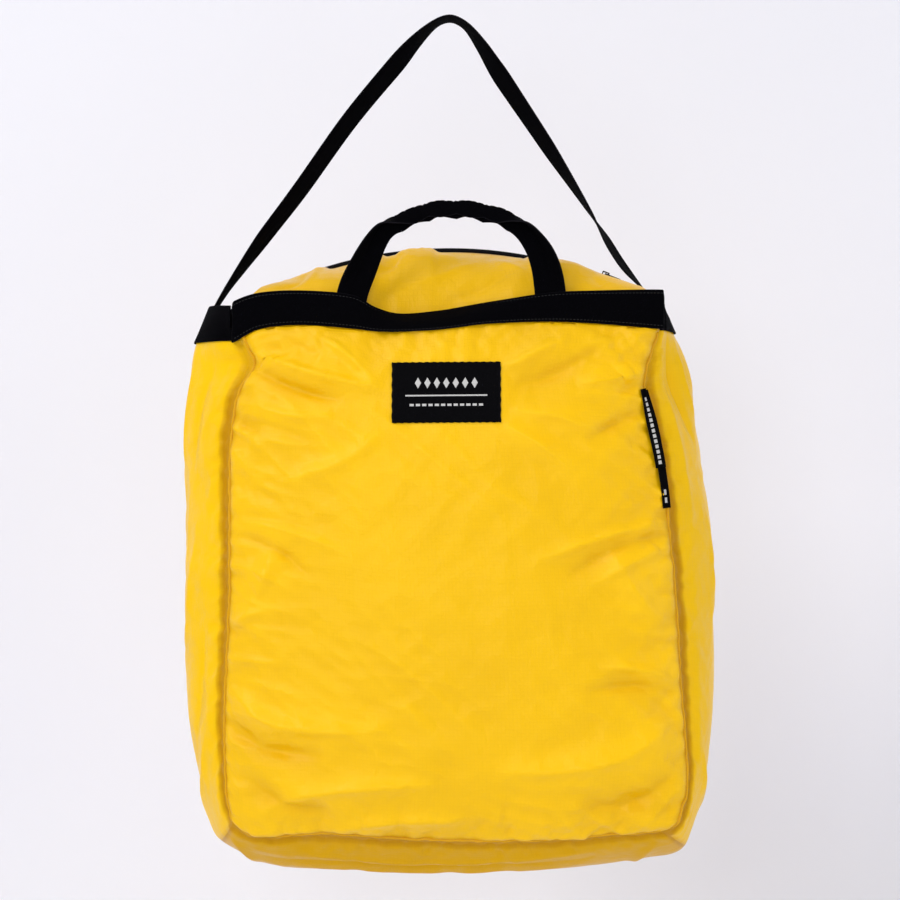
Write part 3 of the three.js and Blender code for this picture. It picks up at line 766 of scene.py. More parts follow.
# Soft folds of the front panel: the line that each follows (x, height), its half width and
# its strength; a negative one is a valley.
FRONT_FOLDS = [
    ([(-196, -332), (-150, -352), (-95, -366), (-62, -372)], 7, 2.6),
    ([(-190, -352), (-145, -372), (-100, -384)], 6, -2.0),
    ([(-196, -384), (-150, -398), (-110, -396)], 6, 1.6),
    ([(-120, -322), (-92, -345), (-70, -368)], 6, 1.6),
    ([(52, -352), (84, -336), (110, -322)], 7, 2.0),
    ([(54, -370), (98, -358), (150, -330)], 8, -1.6),
    ([(55, -392), (100, -398), (150, -416)], 7, 1.8),
    ([(50, -405), (84, -424), (120, -452)], 7, 1.6),
    ([(192, -350), (160, -362), (120, -366)], 7, 2.0),
    ([(190, -392), (160, -404), (128, -420)], 7, -1.8),
    ([(-60, -410), (-100, -440), (-160, -462)], 10, 1.6),
    ([(-213, -655), (-175, -690), (-115, -698), (-50, -697)], 13, 2.6),
    ([(-212, -690), (-180, -716), (-120, -722)], 12, -2.4),
    ([(-190, -780), (-135, -760), (-70, -752), (-10, -750)], 11, 2.4),
    ([(-205, -742), (-160, -770), (-115, -776)], 11, -2.6),
    ([(214, -690), (170, -722), (110, -736), (40, -738)], 14, 2.4),
    ([(220, -740), (180, -768), (120, -778)], 11, -2.2),
    ([(-120, -798), (-60, -786), (20, -786)], 8, 1.8),
    ([(212, -600), (180, -570), (150, -520)], 14, 1.6),
    ([(-205, -600), (-178, -560), (-166, -500)], 14, 1.6),
    ([(-205, -496), (-150, -508), (-97, -529)], 5, 1.3),
    ([(-205, -510), (-165, -526), (-133, -550)], 5, -1.3),
    ([(-206, -540), (-180, -548), (-150, -566)], 5, 1.1),
    ([(-209, -600), (-190, -588), (-170, -584)], 4, 1.1),
    ([(212, -498), (150, -512), (78, -538)], 5, 1.4),
    ([(212, -508), (160, -524), (110, -552)], 5, -1.4),
    ([(213, -520), (170, -540), (135, -560)], 5, 1.3),
    ([(222, -655), (180, -640), (140, -637)], 5, 1.3),
    ([(222, -665), (180, -656), (130, -660)], 5, -1.3),
]
# Folds of the gusset's three lengths. Their lines are (distance along the seam, depth); the
# distance runs down from the mouth, and along the base from its left corner.
RIGHT_FOLDS = [
    ([(16, -52), (70, -46), (130, -30)], 6, -3.6),
    ([(14, -34), (66, -26), (110, -8)], 6, 3.2),
    ([(18, -14), (80, -6), (150, 14)], 7, -3.2),
    ([(14, 6), (70, 20), (120, 34)], 7, 3.0),
    ([(20, 30), (90, 44), (150, 50)], 7, -3.0),
    ([(30, -66), (110, -60), (220, -56)], 6, 2.2),
    ([(180, -30), (260, -24), (330, -34)], 11, 2.2),
    ([(330, 20), (400, 6), (450, -14)], 12, -2.4),
    ([(430, -60), (470, -36), (500, 0)], 9, 2.4),
]
LEFT_FOLDS = [
    ([(20, -50), (80, -44), (160, -38)], 7, -2.4),
    ([(16, -20), (90, -16), (170, -4)], 8, 2.2),
    ([(18, 16), (90, 26), (180, 30)], 8, -2.2),
    ([(30, 44), (120, 52), (200, 54)], 8, 2.0),
    ([(190, -46), (280, -30), (350, -10)], 12, 2.2),
    ([(300, -58), (380, -48), (450, -20)], 9, -2.4),
    ([(400, -64), (450, -40), (500, 10)], 9, 2.4),
]
BASE_FOLDS = [
    ([(10, -62), (90, -56), (190, -52), (290, -56), (410, -66)], 4, 2.2),
    ([(30, -50), (140, -42), (260, -40), (390, -52)], 4, -2.4),
    ([(50, -38), (150, -28), (270, -28), (380, -38)], 5, 1.8),
    ([(10, -20), (110, -8), (220, 0), (360, -12)], 8, -1.6),
    ([(60, 20), (180, 34), (320, 30)], 9, -2.0),
    ([(0, -66), (30, -40), (44, -10)], 6, 2.6),
    ([(455, -66), (428, -40), (414, -12)], 6, 2.4),
]


BLUNT = 1.8  # how round a fold's crest is
FOLD_HEIGHT = 2.1  # how high a fold of strength 1 stands
LONGEST_SEAM = 1700  # the gathers are drawn for seams up to this long


def fold_height(place, folds):
    """How far the folds lift each place; places and folds are on the same flat map."""
    lift = np.zeros(place.shape[:-1])
    for points, width, height in folds:
        line = smooth_line(points, 28)
        nearest = np.full(lift.shape, np.inf)
        at = np.zeros(lift.shape)
        for k, (a, b) in enumerate(zip(line, line[1:])):
            run = b - a
            t = np.clip(((place - a) @ run) / (run @ run), 0, 1)
            away = np.linalg.norm(place - a - t[..., None] * run, axis=-1)
            closer = away < nearest
            nearest = np.where(closer, away, nearest)
            at = np.where(closer, (k + t) / (len(line) - 1), at)
        taper = np.sin(np.pi * np.clip(at, 0.01, 0.99)) ** 0.8
        blunt = np.hypot(nearest, BLUNT) - BLUNT
        lift += FOLD_HEIGHT * height * taper * np.exp(-blunt / (0.75 * width))
    return lift


def creases(place, angle, length, width, seed):
    """Sharp little ridges up to 1 high that run mostly one way over parts of the cloth."""
    c, s = math.cos(angle), math.sin(angle)
    along = (place[..., 0] * c + place[..., 1] * s) / length
    aside = (place[..., 1] * c - place[..., 0] * s) / width
    points = np.stack([along, aside, 0 * along], axis=-1)
    ridge = 1 - 3.2 * np.abs(wobble(points, 1.0, seed))
    flat = np.concatenate([place, 0 * place[..., :1]], axis=-1)
    patch = np.clip(0.35 + 1.6 * wobble(flat, 130, seed + 1), 0, 1)
    return np.clip(ridge, -0.3, 1) * patch


def pucker(along, away, reach, size, seed):
    """Small gathers that run off a seam: along is the way along it, away the way from it."""
    at = np.arange(0, LONGEST_SEAM, 23)
    stray = np.interp(along, at, np.random.default_rng(seed).normal(0, 1, len(at)))
    at = np.arange(0, LONGEST_SEAM, 61)
    strength = np.interp(along, at, np.random.default_rng(seed + 1).uniform(0.15, 1, len(at)))
    wave = np.sin(2 * np.pi * along / size + 1.7 * stray)
    wave = wave + 0.5 * np.sin(2 * np.pi * along / (0.53 * size) + 2.1 * stray)
    return strength * wave * np.exp(-away / reach) * (1 - np.exp(-away / 2.5))


def panel_relief(side, grid):
    """The fine shape of a panel: gathers along its seams, folds and light crumples."""
    u, v = shares(grid)
    width, height = 2 * MOUTH_HALF, PANEL_H
    down = v * height + 0 * u
    across = u * width + 0 * v
    lift = 1.1 * pucker(down, across, 15, 17, 11 + side)
    lift += 1.0 * pucker(down, width - across, 14, 19, 21 + side)
    lift += 0.9 * pucker(across, height - down, 15, 22, 31 + side)
    lift += 0.6 * pucker(across, down, 20, 24, 41 + side)
    place = grid[..., [0, 2]] * np.array([-side, 1])  # the back has the front's folds, mirrored
    if side < 0:
        lift += 1.9 * fold_height(place, FRONT_FOLDS)
    else:
        lift += 0.8 * fold_height(place, FRONT_FOLDS[9:])
    crumpled = 2.8 * creases(place, -0.65, 130, 22, 7 + side)
    crumpled += 1.6 * creases(place, -0.2, 90, 17, 13 + side)
    crumpled += 1.8 * creases(place, 0.75, 120, 24, 23 + side)
    edge = np.minimum(np.minimum(across, width - across), np.minimum(height - down, down + 2))
    lift += crumpled * (1.0 if side < 0 else 0.6) * (0.5 + 0.8 * np.exp(-edge / 55))
    lift += 1.6 * wobble(grid, 80, 3 + side)
    return lift * ease(edge / 5)


def panel_shade(grid, relief):
    """Darker where seam allowances and the band's webbing lie behind the cloth, with a painted shadow
    under the band, painted shade down in the folds and painted highlight on their ridges.
    """
    u, v = shares(grid)
    edge = np.minimum(np.minimum(u, 1 - u) * 2 * MOUTH_HALF, (1 - v) * PANEL_H)
    # Darker just under the band: partly the band's webbing behind the cloth, partly a painted shadow of
    # the band.
    band_layers_and_painted_shadow = 0.35 * np.exp(-v * 500 / 14)
    # Painted shade in the folds' valleys and painted highlight on their ridges.
    painted_fold_shading = np.clip(-0.04 * (relief - relief.mean()), -0.1, 0.16)
    return np.clip(0.6 * np.exp(-((edge / 3.5) ** 2)) + band_layers_and_painted_shadow + painted_fold_shading, -0.1, 1)


def gusset_relief(grid, folds, seed, cut_ends):
    """The fine shape of a length of gusset, level at the ends where it is cut."""
    rows, columns = grid.shape[:2]
    length = np.linalg.norm(np.diff(grid[:, columns // 2], axis=0), axis=1).sum()
    along = np.linspace(0, 1, rows)[:, None] * length
    depth = np.linspace(-1, 1, columns)[None, :] * SEAM_Y
    away = SEAM_Y - np.abs(depth)
    along, depth, away = np.broadcast_arrays(along, depth, away)
    place = np.stack([along, depth], axis=-1)
    lift = 0.5 * pucker(along, np.where(depth < 0, away, 99), 13, 16, seed)
    lift = lift + 0.5 * pucker(along, np.where(depth > 0, away, 99), 13, 18, seed + 5)
    lift += 0.8 * fold_height(place, folds)
    lift += 0.7 * creases(place, 0.12, 130, 18, seed)
    lift += 0.6 * wobble(grid, 90, seed)
    lift -= 2.4 * np.exp(-(((away - 5) / 3) ** 2))
    ends = np.minimum(along, along.max() - along) if cut_ends == 2 else along.max() - along
    return lift * ease(away / 5) * ease(ends / 6)


def gusset_shade(grid, deep):
    """Darker beside the seams, partly where seam allowances lie behind the cloth and partly painted shade
    in the groove; painted shade over the whole length by deep, most underneath; darker lines at the cut
    ends.
    """
    rows, columns = grid.shape[:2]
    away = SEAM_Y * (1 - np.abs(np.linspace(-1, 1, columns)))[None, :]
    step = np.arange(rows)
    from_end = np.minimum(step, step[::-1])[:, None] * 2.4
    streaks = 0.12 * wobble(grid, 6, 77)
    underneath = deep > 0.3
    # Beside the seam: partly the seam allowances seen through the cloth, partly painted shade in the
    # groove there, fading towards the mouth on the side lengths.
    allowances_and_painted_groove_shade = (0.95 + streaks) * (1 - ease((away - 6) / 5)) * (0.3 if underneath else 1)
    if not underneath:
        from_mouth = np.linspace(0, 540, rows)[:, None]
        allowances_and_painted_groove_shade = allowances_and_painted_groove_shade * (0.35 + 0.65 * ease((from_mouth - 20) / 90))
    # deep is painted shade laid over the whole length.
    return np.clip(deep + allowances_and_painted_groove_shade + 0.5 * np.exp(-((from_end / 3) ** 2)), 0, 1)


# ---------------------------------------------------------------- bag body

def make_body():
    """The stuffed shell, cut at its seams into the panels and the gusset's three lengths."""
    front_seam, back_seam = split_seam(FRONT_SEAM), split_seam(BACK_SEAM)
    front = puffed_panel(-1, front_seam)
    back = puffed_panel(1, back_seam)
    gusset = puffed_gusset(front_seam, back_seam, split_crest(GUSSET_CREST))
    for panel, column, pull in ((front, 0, np.linspace(1, 0, CELLS_DEEP + 1)),
                                (back, -1, np.linspace(0, 1, CELLS_DEEP + 1))):
        gusset += (seam_of(panel) - gusset[:, column])[:, None] * pull[None, :, None] ** 2
    front, gusset, back = inflate(front, gusset, back)
    front, gusset, back = (finer(grid, FINER) for grid in (front, gusset, back))
    panels = {"front": make_panel("front", -1, front), "back": make_panel("back", 1, back)}
    return panels, make_gussets(gusset)


def make_panel(name, side, grid):
    normals = normals_of(grid, (0, side, 0))
    relief = panel_relief(side, grid)
    grid = grid + normals * relief[..., None]
    if side < 0:
        grid = tucked(grid, 2.2, 2.0)
    shade = panel_shade(grid, relief)
    piece = cloth_sheet(f"{name}_panel_nylon", grid, NYLON, (0, side, 0), shade)
    finish_piece(piece, f"{name}_shell", "nylon", f"{name}_panel")
    return grid


def make_gussets(gusset):
    """The gusset's three lengths. Returns their grids by name."""
    down, across = CELLS_DOWN * FINER, CELLS_ACROSS * FINER
    right_rows = slice(2 * down + across, down + across - 1, -1)
    # The shade column, deep, is painted shade: most on the base, which faces down, a little on the right
    # length, which faces away from the key light.
    stretches = {  # rows, folds, seed, how many ends are cut, flat size, shade
        "left": (slice(0, down + 1), LEFT_FOLDS, 51, 1, (0.2, 0.5), 0.0),
        "base": (slice(down, down + across + 1), BASE_FOLDS, 61, 2, (0.2, 0.43), 0.58),
        "right": (right_rows, RIGHT_FOLDS, 71, 1, (0.2, 0.5), 0.06),
    }
    made = {}
    for name, (rows, folds, seed, cut_ends, flat, deep) in stretches.items():
        part = gusset[rows]
        facing = (part - BAG_MIDDLE).mean(axis=(0, 1))
        part = part + normals_of(part, facing) * gusset_relief(part, folds, seed, cut_ends)[..., None]
        shade = gusset_shade(part, deep)
        piece = cloth_sheet(f"gusset_{name}_nylon", part, SIDE_NYLON_PAINTED_LIGHTER, facing, shade)
        finish_piece(piece, "bag_core", "nylon", f"gusset_{name}", folds=True)
        made[name] = part
    return made


# ---------------------------------------------------------------- webbing

# The columns of a strip of webbing, closer together towards its edges.
ACROSS = np.array([-1, -0.94, -0.82, -0.45, 0, 0.45, 0.82, 0.94, 1])


def strip(middle, across, width):
    """A strip along a line, its width lying along across."""
    return middle[:, None] + across[:, None] * ACROSS[None, :, None] * width / 2


def smoothed(values, reach):
    kernel = np.hanning(2 * reach + 3)[1:-1]
    padded = np.pad(values, reach, mode="edge")
    return np.convolve(padded, kernel / kernel.sum(), mode="valid")


def make_strap():
    """The shoulder strap: level over the peg, twisted down its two legs, its ends hidden
    inside the side bands."""
    line = smooth_line([
        (-249, -316), (-243, -303), (-236, -291), (-229, -279), (-218, -262), (-188, -220),
        (-150, -170), (-100, -100), (-52, -42), (-34, -21), (-18, -6), (-6, 0.5),
        (5, 0.5), (18, -8), (33, -28), (50, -55), (100, -130), (142, -195),
        (170, -241), (192, -268), (206, -286), (214, -299), (218, -309),
    ], 300)
    middle = at_depth(line, 0)
    run = direction(middle)
    twist_at = [-250, -236, -221, -188, -150, -50, -14, 14, 50, 100, 128, 142, 158, 176, 194, 222]
    twist = [0, 0, -6, -27, -33, -38, -6, -6, -38, -27, -9, 0, 21, 20, 5, 0]
    angle = np.radians(smoothed(np.interp(line[:, 0], twist_at, twist), 5))[:, None]
    depth = np.array([[0.0, 1.0, 0.0]])
    level = unit(np.cross(run, depth))
    across = depth * np.cos(angle) + level * np.sin(angle)
    strap_width = 25.0
    cup = 0.6 * (1 - ACROSS[None, :, None] ** 2) * unit(np.cross(across, run))[:, None]
    grid = strip(middle, across, strap_width) + cup
    strap = thick_sheet("shoulder_strap_webbing", grid, 1.9, WEBBING, (0, -0.3, 1))
    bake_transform(strap)
    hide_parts("shoulder_strap", "strap_tail_left", "strap_tail_right")


def back_band():
    """The back band in the same columns as FRONT_BAND."""
    x = np.linspace(1 - MOUTH_HALF, MOUTH_HALF - 1, 240)
    sag = 1.5 * np.sin(x / 31) + 1.0 * np.sin(x / 17 + 1)
    turned = 14 * ease((np.abs(x) - MOUTH_HALF + 7) / 7) ** 2  # where it goes round the corner
    top_z, low_z = MOUTH_Z - 1 + sag * 0.6 - 0.5 * turned, MOUTH_Z - BAND_H + sag
    depth = 84.2 - turned
    return np.stack([x, top_z, depth, low_z, depth + 0.6 * sag], axis=1)


def make_mouth_bands():
    share = (ACROSS + 1) / 2
    for name, side in (("front", -1), ("back", 1)):
        line = even(cubic(FRONT_BAND, 16) if side < 0 else back_band(), 260)
        top = np.stack([line[:, 0], side * line[:, 2], line[:, 1]], axis=1)
        low = np.stack([line[:, 0], side * line[:, 4], line[:, 3]], axis=1)
        grid = lerp(top[:, None], low[:, None], share[None, :, None])
        bow = np.sin(np.pi * share)[None, :] * band_bow(line[:, 0])[:, None]
        grid[..., 1] += side * (bow if side < 0 else 0.3 * bow)
        grid[..., 1] += side * 0.5 * wobble(grid, 24, 9 + side)
        band = thick_sheet(f"{name}_band_webbing", grid, WEBBING_T, WEBBING, (0, side, 0))
        finish_piece(band, f"{name}_shell", "webbing", f"{name}_band")
        out = np.tile([0.0, float(side), 0.0], (len(grid), 1))
        for edge, column in (("upper", 2), ("lower", 6)):
            row = grid[:, column] + out * (WEBBING_T / 2)
            piece = make_stitches(f"{name}_band_{edge}_stitches", row, out, 3.4, BLACK_THREAD)
            finish_piece(piece, f"{name}_shell", "webbing")


def level_line(gusset, z):
    """x and y where each column of a side gusset passes a height near the mouth."""
    columns = gusset[:40].swapaxes(0, 1)
    return np.array([[np.interp(-z, -line[:, 2], line[:, k]) for k in (0, 1)] for line in columns])


def make_side_bands(gussets):
    """Webbing round the mouth at each side: its lower part lies on the gusset and its top edge
    is bowed out by the strap's pull."""
    tops = {
        "left": (-1, [(-212.5, -290), (-230, -288), (-240, -287), (-229, -286), (-211, -286)], -324),
        "right": (1, [(207.5, -288), (208.5, -287), (210, -286.5), (209, -286), (209, -286)], -314),
    }
    depth = np.array([-75.0, -40, 0, 40, 75])
    count, off_gusset = 90, 2.0
    for name, (hand, top, low_z) in tops.items():
        upper = smooth_line(np.array([(x, y, z) for (x, z), y in zip(top, depth)]), count)
        rows = [upper]
        for z in (low_z + 13, low_z):
            hits = level_line(gussets[name], z)
            x = np.interp(upper[:, 1], hits[:, 1], hits[:, 0])
            rows.append(np.stack([x + hand * off_gusset, upper[:, 1], np.full(count, z)], axis=1))
        share = (ACROSS + 1)[None, :, None] / 2
        top_row, mid_row, low_row = (row[:, None] for row in rows)
        above, below = lerp(top_row, mid_row, 2 * share), lerp(mid_row, low_row, 2 * share - 1)
        grid = np.where(share < 0.5, above, below)
        band = thick_sheet(f"side_band_{name}_webbing", grid, WEBBING_T, WEBBING, (hand, 0, 0.2))
        finish_piece(band, "bag_core", "webbing", f"side_band_{name}", folds=True)


def handle_grid(lean):
    """The handle standing up in its own plane: webbing that is flat at its feet and folded in
    half along the grip. Columns run across the webbing, y is the way out of the plane."""
    crease = smooth_line([
        (-96, -308), (-96, -290), (-93, -275), (-85, -254), (-75, -228), (-65, -213.5),
        (-47, -203), (-20, -193), (0, -191.5), (20, -192), (52, -200), (73, -213.5),
        (86, -232), (93, -252), (96.5, -275), (97, -290), (97, -308),
    ], 280)
    middle = at_depth(crease, 0)
    run = direction(middle)
    inward = unit(np.cross(run, np.array([0.0, 1.0, 0.0])))
    along = np.linspace(0, 1, len(crease))
    foot = np.minimum(along, 1 - along)
    beta = np.interp(foot, [0.06, 0.1, 0.16, 0.24, 0.29, 0.35, 0.39], [0, 8, 36, 70, 88, 150, 176])
    beta = np.radians(smoothed(beta, 6))
    grip = ease((foot - 0.28) / 0.09)  # 0 at the feet, 1 where the webbing is folded
    half_width, gap, bend = 15.0, 1.6, 3.0  # the fold takes up this much of the width
    slide = grip * (3.6 * (1 - np.abs(np.sin(along * 36.5 + 0.4))) ** 0.8 - 1.6)
    q = np.array([-1, -0.94, -0.75, -0.5, -0.25, -0.08, 0, 0.08, 0.25, 0.5, 0.75, 0.94, 1]) * half_width
    q = q[None, :] - slide[:, None] * (1 - np.abs(q[None, :]) / half_width * 0.2)
    turned = np.clip(q / bend, 0, 1) * beta[:, None]
    straight = np.maximum(q - bend / 2, 0)
    curved = np.clip(q, 0, bend / 2) * np.cos(turned / 2)
    reach = np.where(q < 0, -q, -straight * np.cos(turned) - curved)
    out = np.where(q < 0, 0, straight * np.sin(turned) + gap * ease(q / bend) * (turned / math.pi))
    sign = 1 if inward[len(inward) // 2, 2] < 0 else -1
    grid = middle[:, None] + sign * inward[:, None] * reach[..., None]
    grid[..., 1] -= out
    ripple = grip[:, None] * 0.8 * np.sin(along * 74)[:, None] * (np.abs(q) / half_width) ** 2
    grid[..., 1] -= ripple * 0.6 + lean * ease((grid[..., 2] - MOUTH_Z) / 45)
    return grid


def make_handles():
    front = handle_grid(8.0) + np.array([0, -HANDLE_Y, 0])
    piece = thick_sheet("front_handle_webbing", front, 2.0, WEBBING, (0, -1, 0))
    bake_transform(piece)
    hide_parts("front_handle", "front_handle_tail_left", "front_handle_tail_right")

    # Behind, the same handle is bent over the band's top edge and hangs down, its fold outward.
    upright = handle_grid(0.0)
    radius = HANDLE_PIVOT[1] - HANDLE_Y
    hang = math.radians(168)
    height = upright[..., 2] - MOUTH_Z
    out = upright[..., 1]
    turn = np.clip(height / radius, 0, hang)
    over = np.maximum(height - radius * hang, 0)
    back = upright.copy()
    stand = radius - out
    back[..., 1] = HANDLE_PIVOT[1] - stand * np.cos(turn) + over * np.sin(turn)
    back[..., 2] = MOUTH_Z + np.minimum(height, 0) + stand * np.sin(turn) + over * np.cos(turn)
    piece = thick_sheet("back_handle_webbing", back, 2.0, WEBBING, (0, -1, 0))
    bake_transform(piece)
    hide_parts("back_handle", "back_handle_tail_left", "back_handle_tail_right")


# ---------------------------------------------------------------- closure

def zip_z(x):
    return ZIP_CENTRE_Z + np.sqrt(ZIP_R**2 - x**2)


# Rises and dips of the cover's crest: x, half width and height.
CREST_HUMPS = [(-78, 11, 2.5), (-31, 17, 2), (30, 34, -5), (118, 22, 3), (-106, 14, -4), (-150, 16, -4)]
CLOSURE_FOLDS = [
    ([(-60, 20), (-20, 34), (30, 62)], 6, 1.5),
    ([(-96, 30), (-60, 50), (-44, 74)], 6, -1.3),
    ([(60, 20), (70, 44), (40, 70)], 7, 1.0),
    ([(-10, 14), (30, 24), (64, 50)], 6, -1.4),
    ([(-170, 20), (-150, 44), (-140, 70)], 9, -2.0),
    ([(150, 16), (140, 44), (150, 70)], 8, -1.4),
]


def crest_dip(x):
    """How far the cover sinks below the zip where the zip shows along the crest."""
    dip = 0.0
    for start, end in ((-121, -92), (-66, -50), (-14, 76)):
        dip = dip + ease((x - start + 5) / 9) * ease((end + 5 - x) / 9)
    return 4.6 * dip


def make_closure(name, side):
    """Half of the domed cover: puffed nylon from the band up to the zip."""
    zip_y, edge_y, depth = 14.6, 76.0, 84
    tuck = 9  # it is sewn this far below and behind the band's top edge
    u = np.linspace(-1, 1, 181)[None, :]
    v = np.linspace(0, 1, 49)[:, None]
    angle = v * np.pi / 2
    edge_x, zip_x = u * (MOUTH_HALF - 4), u * -ZIP_END_X
    x = lerp(edge_x, zip_x, v)
    if side < 0:
        low_z = band_edge(edge_x, 1) - tuck
        low_y = np.minimum(band_edge(edge_x, 2) - tuck, edge_y)
    else:
        low_z, low_y = MOUTH_Z - tuck + 0 * u, edge_y + 0 * u
    rise = np.sin(angle) ** 1.1
    z = low_z + (zip_z(zip_x) - crest_dip(zip_x) - low_z) * rise
    y = side * (zip_y + (low_y - zip_y) * np.cos(angle) ** 0.9)
    grid = stacked(x, y, z)
    for centre, width, height in CREST_HUMPS:
        lift = height * np.exp(-(((x - centre) / width) ** 2)) * np.sin(np.pi * v**1.6) * ease(v * 3)
        grid[..., 2] += lift
    normals = normals_of(grid, (0, side, 0.6))
    lift = fold_height(stacked(x, v * 86), CLOSURE_FOLDS)
    from_zip = (1 - v) * depth
    lift += pucker(x + 300, np.broadcast_to(from_zip, lift.shape), 14, 15, 81 + side)
    lift += 1.2 * wobble(grid, 34, 17 + side) + 0.5 * wobble(grid, 15, 19 + side)
    grid += normals * (lift * ease(v * 6) * ease((1 - v) * 9))[..., None]
    if side < 0:
        grid = tucked(grid, tuck, 1.0)
    # Painted shade: the whole cover is a little darker than the panels, and darker still along the zip
    # where the cloth runs in under the tape.
    shade = 0.18 + 0.6 * np.exp(-((from_zip / 4) ** 2)) + 0 * u
    panel = cloth_sheet(f"{name}_closure_nylon", grid, NYLON, (0, side, 0.6), shade)
    finish_piece(panel, f"{name}_flap", "nylon", f"{name}_closure_panel", folds=True)


def make_zip_tape(name, side):
    """Half of the zip's tape: level beside the coil, then down onto the cover."""
    half_angle = math.asin((-ZIP_END_X - 4) / ZIP_R)
    turn = np.linspace(-half_angle, half_angle, 161)[:, None]
    tape_y = lerp(3.0, 16.4, (ACROSS + 1) / 2)[None, :]
    sink = -1.6 * ease((tape_y - 8) / 9)
    radius = ZIP_R + sink - crest_dip(ZIP_R * np.sin(turn)) * ease((tape_y - 3.5) / 13)
    x, z = radius * np.sin(turn), ZIP_CENTRE_Z + radius * np.cos(turn)
    tape = stacked(x, side * tape_y, z)
    piece = thick_sheet(f"{name}_zip_tape_weave", tape, 0.7, TAPE, (0, 0, 1))
    finish_piece(piece, f"{name}_flap", "zip_tape", f"{name}_zip_tape", folds=True)


def tube_faces(rings, around):
    """The faces of a closed tube: quads between its rings of points and a face at each end."""
    faces = []
    for k in range(rings - 1):
        for i in range(around):
            j = (i + 1) % around
            start, end = k * around, (k + 1) * around
            faces.append([start + i, start + j, end + j, end + i])
    last = (rings - 1) * around
    return faces + [list(range(around))[::-1], list(range(last, last + around))]


def make_coil(name, side):
    """One half of the zip's coil: a row of rounded turns that mesh with the other half."""
    pitch, inner, outer = 1.5, -0.55, 3.1
    count = int(2 * COIL_HALF / pitch)
    turn = np.linspace(0, 2 * np.pi, 9)[:-1]
    stations = np.array([0.0, 0.1, 0.35, 0.7, 0.92, 1.0])
    girth = np.array([0.45, 0.95, 1.0, 0.9, 0.8, 0.35])
    y = lerp(inner, outer, stations)[:, None] + 0 * turn[None, :]
    along = 0.42 * np.cos(turn)[None, :] * girth[:, None]
    up = 1.05 * np.sin(turn)[None, :] * girth[:, None]
    one = np.stack([along, side * y, up], axis=-1).reshape(-1, 3)
    faces = tube_faces(len(stations), len(turn))
    points, every = [], []
    for n in range(count):
        arc = -COIL_HALF + (n + (0.5 if side > 0 else 0.0)) * pitch
        lean = arc / ZIP_R
        c, s = math.cos(lean), math.sin(lean)
        placed = one.copy()
        placed[:, 0] = one[:, 0] * c + (one[:, 2] + ZIP_R) * s
        placed[:, 2] = -one[:, 0] * s + (one[:, 2] + ZIP_R) * c + ZIP_CENTRE_Z
        base = n * len(one)
        points.append(placed)
        every += [[base + i for i in face] for face in faces]
    if side < 0:
        every = [face[::-1] for face in every]
    piece = make_mesh(f"{name}_zip_coil_turns", np.concatenate(points), every, COIL)
    finish_piece(piece, f"{name}_flap", "zip_coil", f"{name}_zip_coil", folds=True)


def make_zip_ends():
    """Tabs that carry the zip's ends down to the side bands, and the looks of the slider and
    its pull, which stay as they are in the CAD."""
    for name in ("left", "right"):
        hand = -1 if name == "left" else 1
        low, high = box(f"zip_end_tab_{name}")
        inner, outer = (high[0], low[0]) if hand < 0 else (low[0], high[0])
        count = 40
        top = high[2]
        shoulder = (lerp(inner, outer, 0.35), top - 6), (lerp(inner, outer, 0.75), top - 19)
        middle = at_depth(smooth_line([(inner, top), *shoulder, (outer, low[2])], count), 0)
        across = np.tile([0.0, 1.0, 0.0], (count, 1))
        grid = strip(middle, across, high[1] - low[1])
        tab = thick_sheet(f"zip_end_tab_{name}_webbing", grid, 1.0, TAPE, (0, 0, 1))
        finish_piece(tab, "bag_core", "zip_tape", f"zip_end_tab_{name}")
    for node in ("zip_slider", "zip_pull"):
        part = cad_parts[node]
        part.data.materials.clear()
        part.data.materials.append(METAL)
        bevel = part.modifiers.new("Bevel", "BEVEL")
        bevel.width = 0.00028
        bevel.segments = 3
        bevel.limit_method = "ANGLE"
        bevel.harden_normals = False


# ---------------------------------------------------------------- on and in the cloth

def surface_tree(grid):
    faces = quads(numbers(*grid.shape[:2])).tolist()
    return BVHTree.FromPolygons([Vector(p) for p in grid.reshape(-1, 3)], faces)


def laid_on(tree, x, z, side, lift):
    """Points on the outside of a panel at each x and height, lifted off it."""
    out = np.zeros(np.shape(x) + (3,))
    for at in np.ndindex(np.shape(x)):
        hit = tree.ray_cast(Vector((x[at], side * 300.0, z[at])), Vector((0, -side, 0)))[0]
        out[at] = (x[at], (hit.y if hit else side * SEAM_Y) + side * lift, z[at])
    return out


